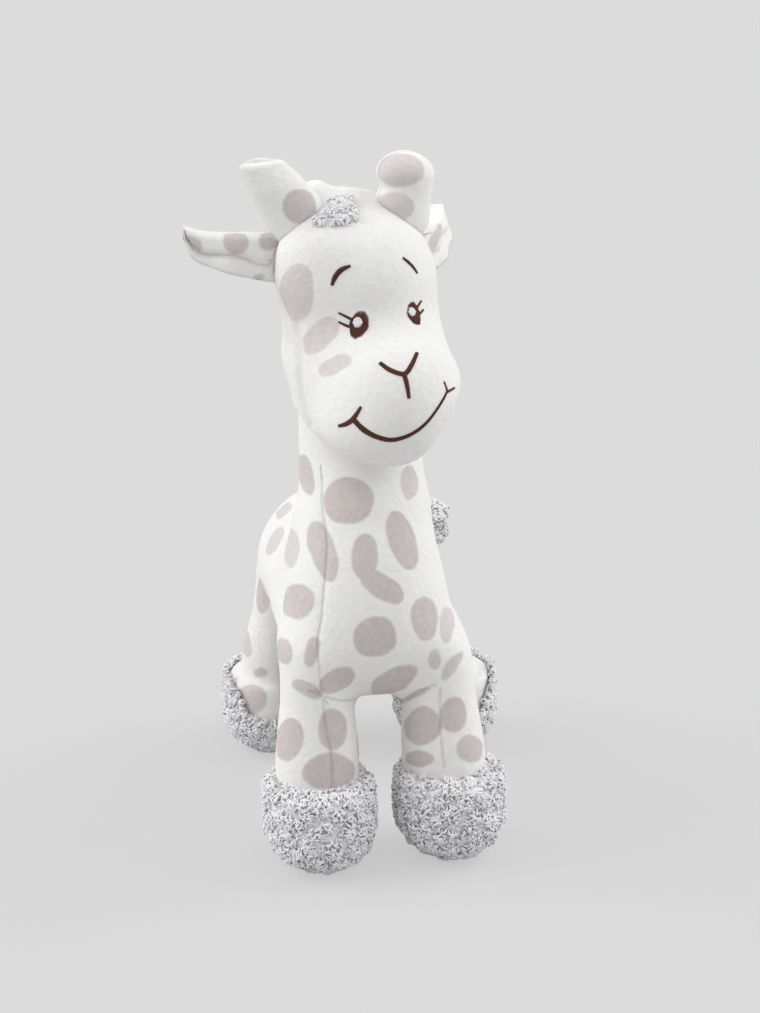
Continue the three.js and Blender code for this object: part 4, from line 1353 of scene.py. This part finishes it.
for side, horn_of in horns.items():
    length = horn_of["length"]
    horn_frame = head_frame @ Matrix.Translation(Vector(horn_of["place"]))
    horn_frame = horn_frame @ Matrix.Rotation(horn_of["lean"], 4, "Y")
    spine = [(0, 0, -horn_root_radius), (0, 0, 0), (0, 0, length)]
    form = stuffed_form(spine, horn_of["girths"], (horn_root_radius, horn_of["dome"]), 64, 72)
    points, faces, normals = with_normals(form)
    seam = np.where(points[:, 2] > 0, points[:, 1], seam_reach)
    if side == "right":
        rim = points[:, 2] - length + 1.0
        seam = nearer_of(np.where(rim < 0, seam, seam_reach), rim)
        points = points - tip_groove * np.exp(-(rim**2))[:, None] * normals
        points[:, 2] -= tip_slant * points[:, 0] * np.clip(points[:, 2] / length, 0, 1) ** 1.5
        points[:, 0] += tip_bend * np.clip(points[:, 2] / length - 0.35, 0, 1) ** 2 / 0.65**2
    else:
        kink = np.exp(-(((points[:, 2] - kink_height) / kink_half_width) ** 2))
        kink *= np.clip(0.35 - points[:, 0] / horn_root_radius, 0, 1)
        points = points - kink_depth * kink[:, None] * normals
    points = sunk(points, normals, seam * 1.4)
    points, faces, normals = with_normals(moved((points, faces), horn_frame))
    # Where the horn meets the head, and along its tip seam, the cloth is darkened as painted shade.
    seam = nearer_of(seam, gap_to_head(points))
    surface = surface_of(points, faces)
    depth, dark = printed(points, normals, surface, horn_of["ovals"])
    hidden = unseen(points, normals, [surface])
    scattered(points, normals, depth, hidden, hidden, 60)
    horn = piece_of(f"horn_{side}_skin", points, faces, seam=seam, spot=depth, dark=dark)
    dressed(horn, printed_pile, nodes_with(f"horn_{side}_"), f"horn_{side}")
print("horns:", ", ".join(horns))

# %% [markdown]
# ## Ears
#
# An ear is a leaf of cloth with a lining, folded lengthwise along its top and gathered into the
# side of the head. It has no stuffing. Each layer is a sheet bent over the fold, with a slight
# waviness that runs out along it and a crease pinched into its side, and is given its thickness by
# a second face inside the first.

# %% Ears
ear_length = 39.5
ear_height = 21.0
ear_opening = 6.5
ear_cloth = 1.5
ear_bead_radius = 4.2
ear_wave = 1.1
ear_crease = 0.76
ear_pinch, ear_pinch_width = 2.6, 0.08
ear_places = {
    "right": ((-32.5, 4, 52.5), math.radians(180 - 10), math.radians(17)),
    "left": ((31.5, 3, 46), math.radians(60), math.radians(6)),
}
ear_ovals = {
    "right": [
        (191, 243, 13, 9, 20, 0.8), (236, 243, 13, 11, 10, 0.9),
        (269, 240, 10, 12, 30, 0.9), (257, 277, 7, 4, 0, 0.8),
    ],
    "left": [(412, 232, 6, 6, 0, 0.7), (433, 244, 4, 24, 25, 0.8)],
}
ear_sections = 40
ear_folds = 33


def ear_layer(start, inset):
    """One layer of an ear along X with its fold on top, and its points' distances from the crease."""
    share = np.linspace(0, 1, ear_sections)
    knots = (0, 0.14, 0.32, 0.6, 0.84, 0.96, 1)
    height = (ear_height - inset) * np.interp(share, knots, (0.9, 0.9, 0.82, 0.66, 0.52, 0.38, 0.08))
    top = (ear_height - inset) / 2 * np.interp(share, knots, (1.25, 1.18, 1.06, 0.8, 0.66, 0.72, 0.8))
    opening = ear_opening * np.interp(share, knots, (0.1, 0.5, 0.88, 0.95, 0.7, 0.45, 0.2))
    for row in (height, top, opening):
        row[2:-2] = np.convolve(row, np.ones(5) / 5, "same")[2:-2]
    out = start + share * (ear_length - inset - start)
    fold = np.linspace(-1, 1, ear_folds)
    spread = np.sqrt(np.abs(fold))
    lean = height / np.hypot(opening, height)
    crease = ear_crease + 0.05 * np.sin(out[:, None] / 4)
    # The distance from the crease lets the cloth darken along it as painted shade in the fold.
    from_crease = 1.5 * height[:, None] * (np.abs(fold) - crease) + seam_reach * (share[:, None] < 0.2)
    faces_of_cloth = []
    for depth in (inset, inset + ear_cloth):
        half = opening[:, None] * spread + 2 * ear_cloth - depth * lean[:, None]
        wave = ear_wave * np.sin(out[:, None] / 3.1 + 2.2 * fold) * np.abs(fold) ** 2 * share[:, None]
        pinch = ear_pinch * np.exp(-(((np.abs(fold) - crease) / ear_pinch_width) ** 2))
        pinch = pinch * np.clip(3 * share[:, None] - 0.3, 0, 1)
        y = np.maximum(0.4 * spread, half + wave - pinch) * np.sign(fold)
        z = top[:, None] - height[:, None] * fold**2 - depth * (1 - spread)
        faces_of_cloth.append(np.stack([np.broadcast_to(out[:, None], y.shape), y, z], -1).reshape(-1, 3))
    count = ear_sections * ear_folds
    number = np.arange(count).reshape(ear_sections, ear_folds)
    corners = number[:-1, :-1], number[1:, :-1], number[1:, 1:], number[:-1, 1:]
    quads = np.stack(corners, -1).reshape(-1, 4)
    rim = np.concatenate([number[0, :-1], number[:-1, -1], number[-1, :0:-1], number[:0:-1, 0]])
    after = np.roll(rim, -1)
    edge = np.column_stack([rim, after, after + count, rim + count])
    faces = np.vstack([quads, quads[:, ::-1] + count, edge])
    return np.vstack(faces_of_cloth), faces, np.tile(from_crease.ravel(), 2)


for side, (place, outward, rise) in ear_places.items():
    ear_frame = head_frame @ Matrix.Translation(Vector(place)) @ Matrix.Rotation(outward, 4, "Z")
    risen = ear_frame @ Matrix.Rotation(-rise, 4, "Y")
    lining_start = ear_bead_radius + ear_cloth + ear_height / 2 * math.tan(rise)
    for part, start, inset in (("outer", -7, 0), ("lining", lining_start, ear_cloth + 0.6)):
        points, faces, from_crease = ear_layer(start, inset)
        points, faces = moved((points, faces), risen)
        faces = facing_out(points, faces)
        normals = vertex_normals(points, faces)
        depth, dark = printed(points, normals, surface_of(points, faces), ear_ovals[side])
        # The crease and the join with the head are darkened as painted shade.
        seam = nearer_of(from_crease, gap_to_head(points))
        ear = piece_of(f"ear_{side}_{part}_leaf", points, faces, seam=seam, spot=depth, dark=dark)
        dressed(ear, printed_pile, [f"ear_{side}_{part}"], f"ear_{side}")
print("ears:", ", ".join(ear_places))

# %% [markdown]
# ## Tail
#
# The tail hangs from the top of the rump and curls up again behind the giraffe's left flank, where
# its terry end shows beside the neck in the picture. A thin stuffed stem carries a tuft of the same
# loops as the feet.

# %% Tail
tail_radius = 4.2
tuft_radius = 8.0
loops_a_tail = 620
tail_root = joint_at["tail_swing"]
tail_bend = tail_root + (21, 18, -19)
tail_tip = tail_root + (33, 22, -29)
tuft_tip = tail_tip + (3, 4, 19)

back = tail_radius * (tail_bend - tail_root) / np.linalg.norm(tail_bend - tail_root)
tail_spine = [tail_root - back, tail_root, tail_bend, tail_tip]
tail_girths = [(0, tail_radius, tail_radius), (1, tail_radius, tail_radius)]
stem_form = stuffed_form(tail_spine, tail_girths, (tail_radius, tail_radius))
points, faces, normals = with_normals(stem_form)
plain = {"seam": seam_reach, "spot": no_spot, "dark": 1}
stem_marks = {mark: np.full(len(points), value) for mark, value in plain.items()}
stem = piece_of("tail_stem_skin", points, faces, **stem_marks)
dressed(stem, printed_pile, ["tail_stem"], "tail")

small = tuft_radius - loop_depth
tuft_form = stuffed_form([tail_tip, tuft_tip], [(0, small, small), (1, small, small)], (small, small))
points, faces, normals = with_normals(tuft_form)
tuft = piece_of("tail_tuft_cloth", points, faces)
dressed(tuft, grey_terry, ["tail_tuft"], "tail")
all_faces = np.ones(len(faces), bool)
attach(loops_over("tail_tuft_loops", points, faces, normals, loops_a_tail, all_faces), "tail")
print("tail tuft at", np.round(tuft_tip))

# %% [markdown]
# ## Mane
#
# The mane is a narrow strip of terry. It shows as a forelock beside the right horn, and the rest of
# it, down the back of the head and on the neck, is a guess. A strip is the skin under it, grown
# outward and rounded off at its borders. A border behind the forelock leaves the band of white
# cloth that shows there, and one round the right horn leaves room for the horn to bend.

# %% Mane
mane_half_width = 9.2
mane_height = 2.2
mane_border = 2.5
border_depth = 1.2
forelock_start = 72.0
crown_end = 9.0
band_middle, band_half_width = 4.5, 8.5
horn_gap_middle, horn_gap_radius = (-22.8, -3.2), 14.6
neck_strip_top, neck_strip_end = -10, -47
loops_a_crown, loops_a_neck = 1500, 520


def strip_height(*borders):
    """How far the strip stands up, from how far inside each border a point lies."""
    inside = np.minimum.reduce(borders)
    return mane_height * np.sqrt(np.clip(inside / mane_border, 0, 1)) - border_depth * (inside < 0.05)


def grown_strip(name, points, faces, normals, height, loops):
    """A terry strip over a skin, and its loops."""
    grown = points + height[:, None] * normals
    chosen = (height[faces] > 0).any(1)
    points, faces, normals, height = part_of(grown, faces, chosen, normals, height)
    strip = dressed(piece_of(f"{name}_cloth", points, faces), grey_terry, [name])
    wanted = height[faces].mean(1) > 0.1 * mane_height
    return strip, loops_over(f"{name}_loops", points, faces, normals, loops, wanted)


in_head = in_head_frame(head_points)
in_front = in_head[:, 1] < -3
end_border = in_head[:, 2] - np.where(in_front, forelock_start, crown_end)
band_border = np.abs(in_head[:, 1] - band_middle) - band_half_width
mane_middle = np.interp(in_head[:, 1], (-15, 25), (-11.4, -1.5))
side_border = mane_half_width - np.abs(in_head[:, 0] - mane_middle)
horn_border = np.hypot(*(in_head[:, :2] - horn_gap_middle).T) - horn_gap_radius
crown_height = strip_height(side_border, end_border, band_border, horn_border)
crown_strip, crown_loops = grown_strip(
    "mane_crown", head_points, head_faces, head_normals, crown_height, loops_a_crown
)
for piece in (crown_strip, crown_loops):
    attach(piece, "head")

from_top = body_points - neck_top
side_border = mane_half_width - np.abs(from_top[:, 0])
top_border, end_border = neck_strip_top - from_top[:, 2], from_top[:, 2] - neck_strip_end
neck_height = strip_height(side_border, top_border, end_border, from_top[:, 1])
neck_strip, neck_loops = grown_strip(
    "mane_neck", body_points, body_faces, body_normals, neck_height, loops_a_neck
)
for piece in (neck_strip, neck_loops):
    bent(piece)
print("mane strips:", len(crown_strip.data.polygons), "and", len(neck_strip.data.polygons), "faces")

# %% [markdown]
# ## Embroidered face
#
# The face is satin stitch: rows of shiny thread laid side by side across a line, each dipping into
# the cloth at both ends. The picture gives the middle of every line and its width along it. The
# stitches are laid from those, over the real curve of the face, so the face still looks right from
# the side. The eyes are filled with upright stitches, and each has a white glint and two lashes.

# %% Satin stitch
thread_radius = 0.22
thread_spacing = 0.36
thread_rise = 0.5
thread_dip = 0.15
stitch_stations = 9
stitch_sides = 5


def satin(name, lines, material, nodes, lift=0.0):
    """Stitches across lines. Each line is a list of (x, y, half width in pixels)."""
    all_stitches = []
    for line in lines:
        line = np.array(line, float)
        path = traced(head_surface, line[:, :2], thread_spacing)
        ways = np.gradient(path, axis=0)
        pixel_way = np.concatenate([[0], np.cumsum(np.hypot(*np.diff(line[:, :2], axis=0).T))])
        widths = np.interp(np.linspace(0, pixel_way[-1], len(path)), pixel_way, line[:, 2]) / pixels_per_mm
        stations = np.linspace(-1, 1, stitch_stations)
        for place, way, half_width in zip(path, ways, widths):
            _, direction, *_ = head_surface.find_nearest(Vector(place))
            across = np.cross(direction, way)
            across /= np.linalg.norm(across)
            half_width *= random.uniform(0.94, 1.06)
            stitch = []
            for station in stations:
                nearest, out, *_ = head_surface.find_nearest(Vector(place + across * half_width * station))
                rise = lift + thread_rise * (1 - station**4) - thread_dip
                stitch.append(np.array(nearest) + rise * np.array(out))
            all_stitches.append(stitch)
    piece = piece_of(name, *tubes(np.array(all_stitches), thread_radius, stitch_sides))
    dressed(piece, material, nodes, "head")
    print(f"{name}: {len(all_stitches)} stitches")


def filled_oval(x, y, half_width, half_height, slope=0.0):
    """The middle line of an oval, dropping by the slope, and its half heights, for upright stitches."""
    share = np.linspace(-1, 1, 9)
    heights = half_height * np.sqrt(np.clip(1 - share**2, 0.04, 1))
    return [(x + half_width * s, y + slope * s, height) for s, height in zip(share, heights)]


# %% [markdown]
# ## The lines of the face
#
# These numbers were read from the picture, in its pixels. An eye or a glint is an oval: its
# middle, its half width and half height, and how far its middle drops towards one end. Every other
# line is a row of places, with the line's half width at each.

# %% Face
eyes = {"right": (359, 325, 8.6, 14.2, 2.5), "left": (413.5, 314, 5.6, 12.3, -1)}
glints = {"right": (358, 322.5, 4.4, 5.4), "left": (411, 312, 3.2, 4.6)}
glint_lift = 0.45
lashes = {
    "right": [
        [(353, 320, 1.3), (345, 316, 1.2), (339, 313, 0.8)],
        [(353, 328, 1.3), (345, 325, 1.2), (339, 322, 0.8)],
    ],
    "left": [[(416, 309, 1.1), (421, 301, 0.8)], [(417, 317, 1.1), (423, 310, 0.8)]],
}
brows = {
    "right": [[(332, 285, 1.5), (335, 277, 2.6), (341, 270, 2.6), (350, 266, 1.2)]],
    "left": [[(403, 258, 1.0), (408, 262, 1.6), (413, 267, 1.5), (417, 273, 0.8)]],
}
nose_lines = [
    [(380, 363, 1.8), (390, 370, 2.4), (404, 374, 2.4), (411, 366, 2.2), (417, 353, 1.6)],
    [(404, 374, 2.3), (407, 385, 2.2), (409, 398, 1.6)],
]
mouth_lines = [
    [
        (354, 420, 3.0), (364, 430, 3.2), (377, 437, 2.9), (391, 440, 2.6), (405, 437, 2.3),
        (418, 430, 2.0), (428, 421, 1.7), (437, 409, 1.4), (447, 391, 1.0),
    ],
    [(361, 407, 1.3), (356, 415, 2.2), (352, 420, 2.4)],
    [(339, 426, 1.3), (346, 424, 2.2), (354, 419, 2.6)],
    [(444, 382, 0.8), (447, 391, 1.1)],
    [(454, 388, 0.8), (447, 392, 1.1)],
]

for side in eyes:
    eye = [filled_oval(*eyes[side]), *lashes[side]]
    glint = [filled_oval(*glints[side])]
    satin(f"eye_{side}_stitches", eye, brown_thread, [f"eye_{side}"])
    satin(
        f"eye_{side}_glint_stitches", glint, white_thread, [f"eye_glint_{side}"], glint_lift
    )
    satin(f"brow_{side}_stitches", brows[side], brown_thread, [f"brow_{side}"])
satin("nose_stitches", nose_lines, brown_thread, ["nose"])
satin("mouth_stitches", mouth_lines, brown_thread, ["mouth"])
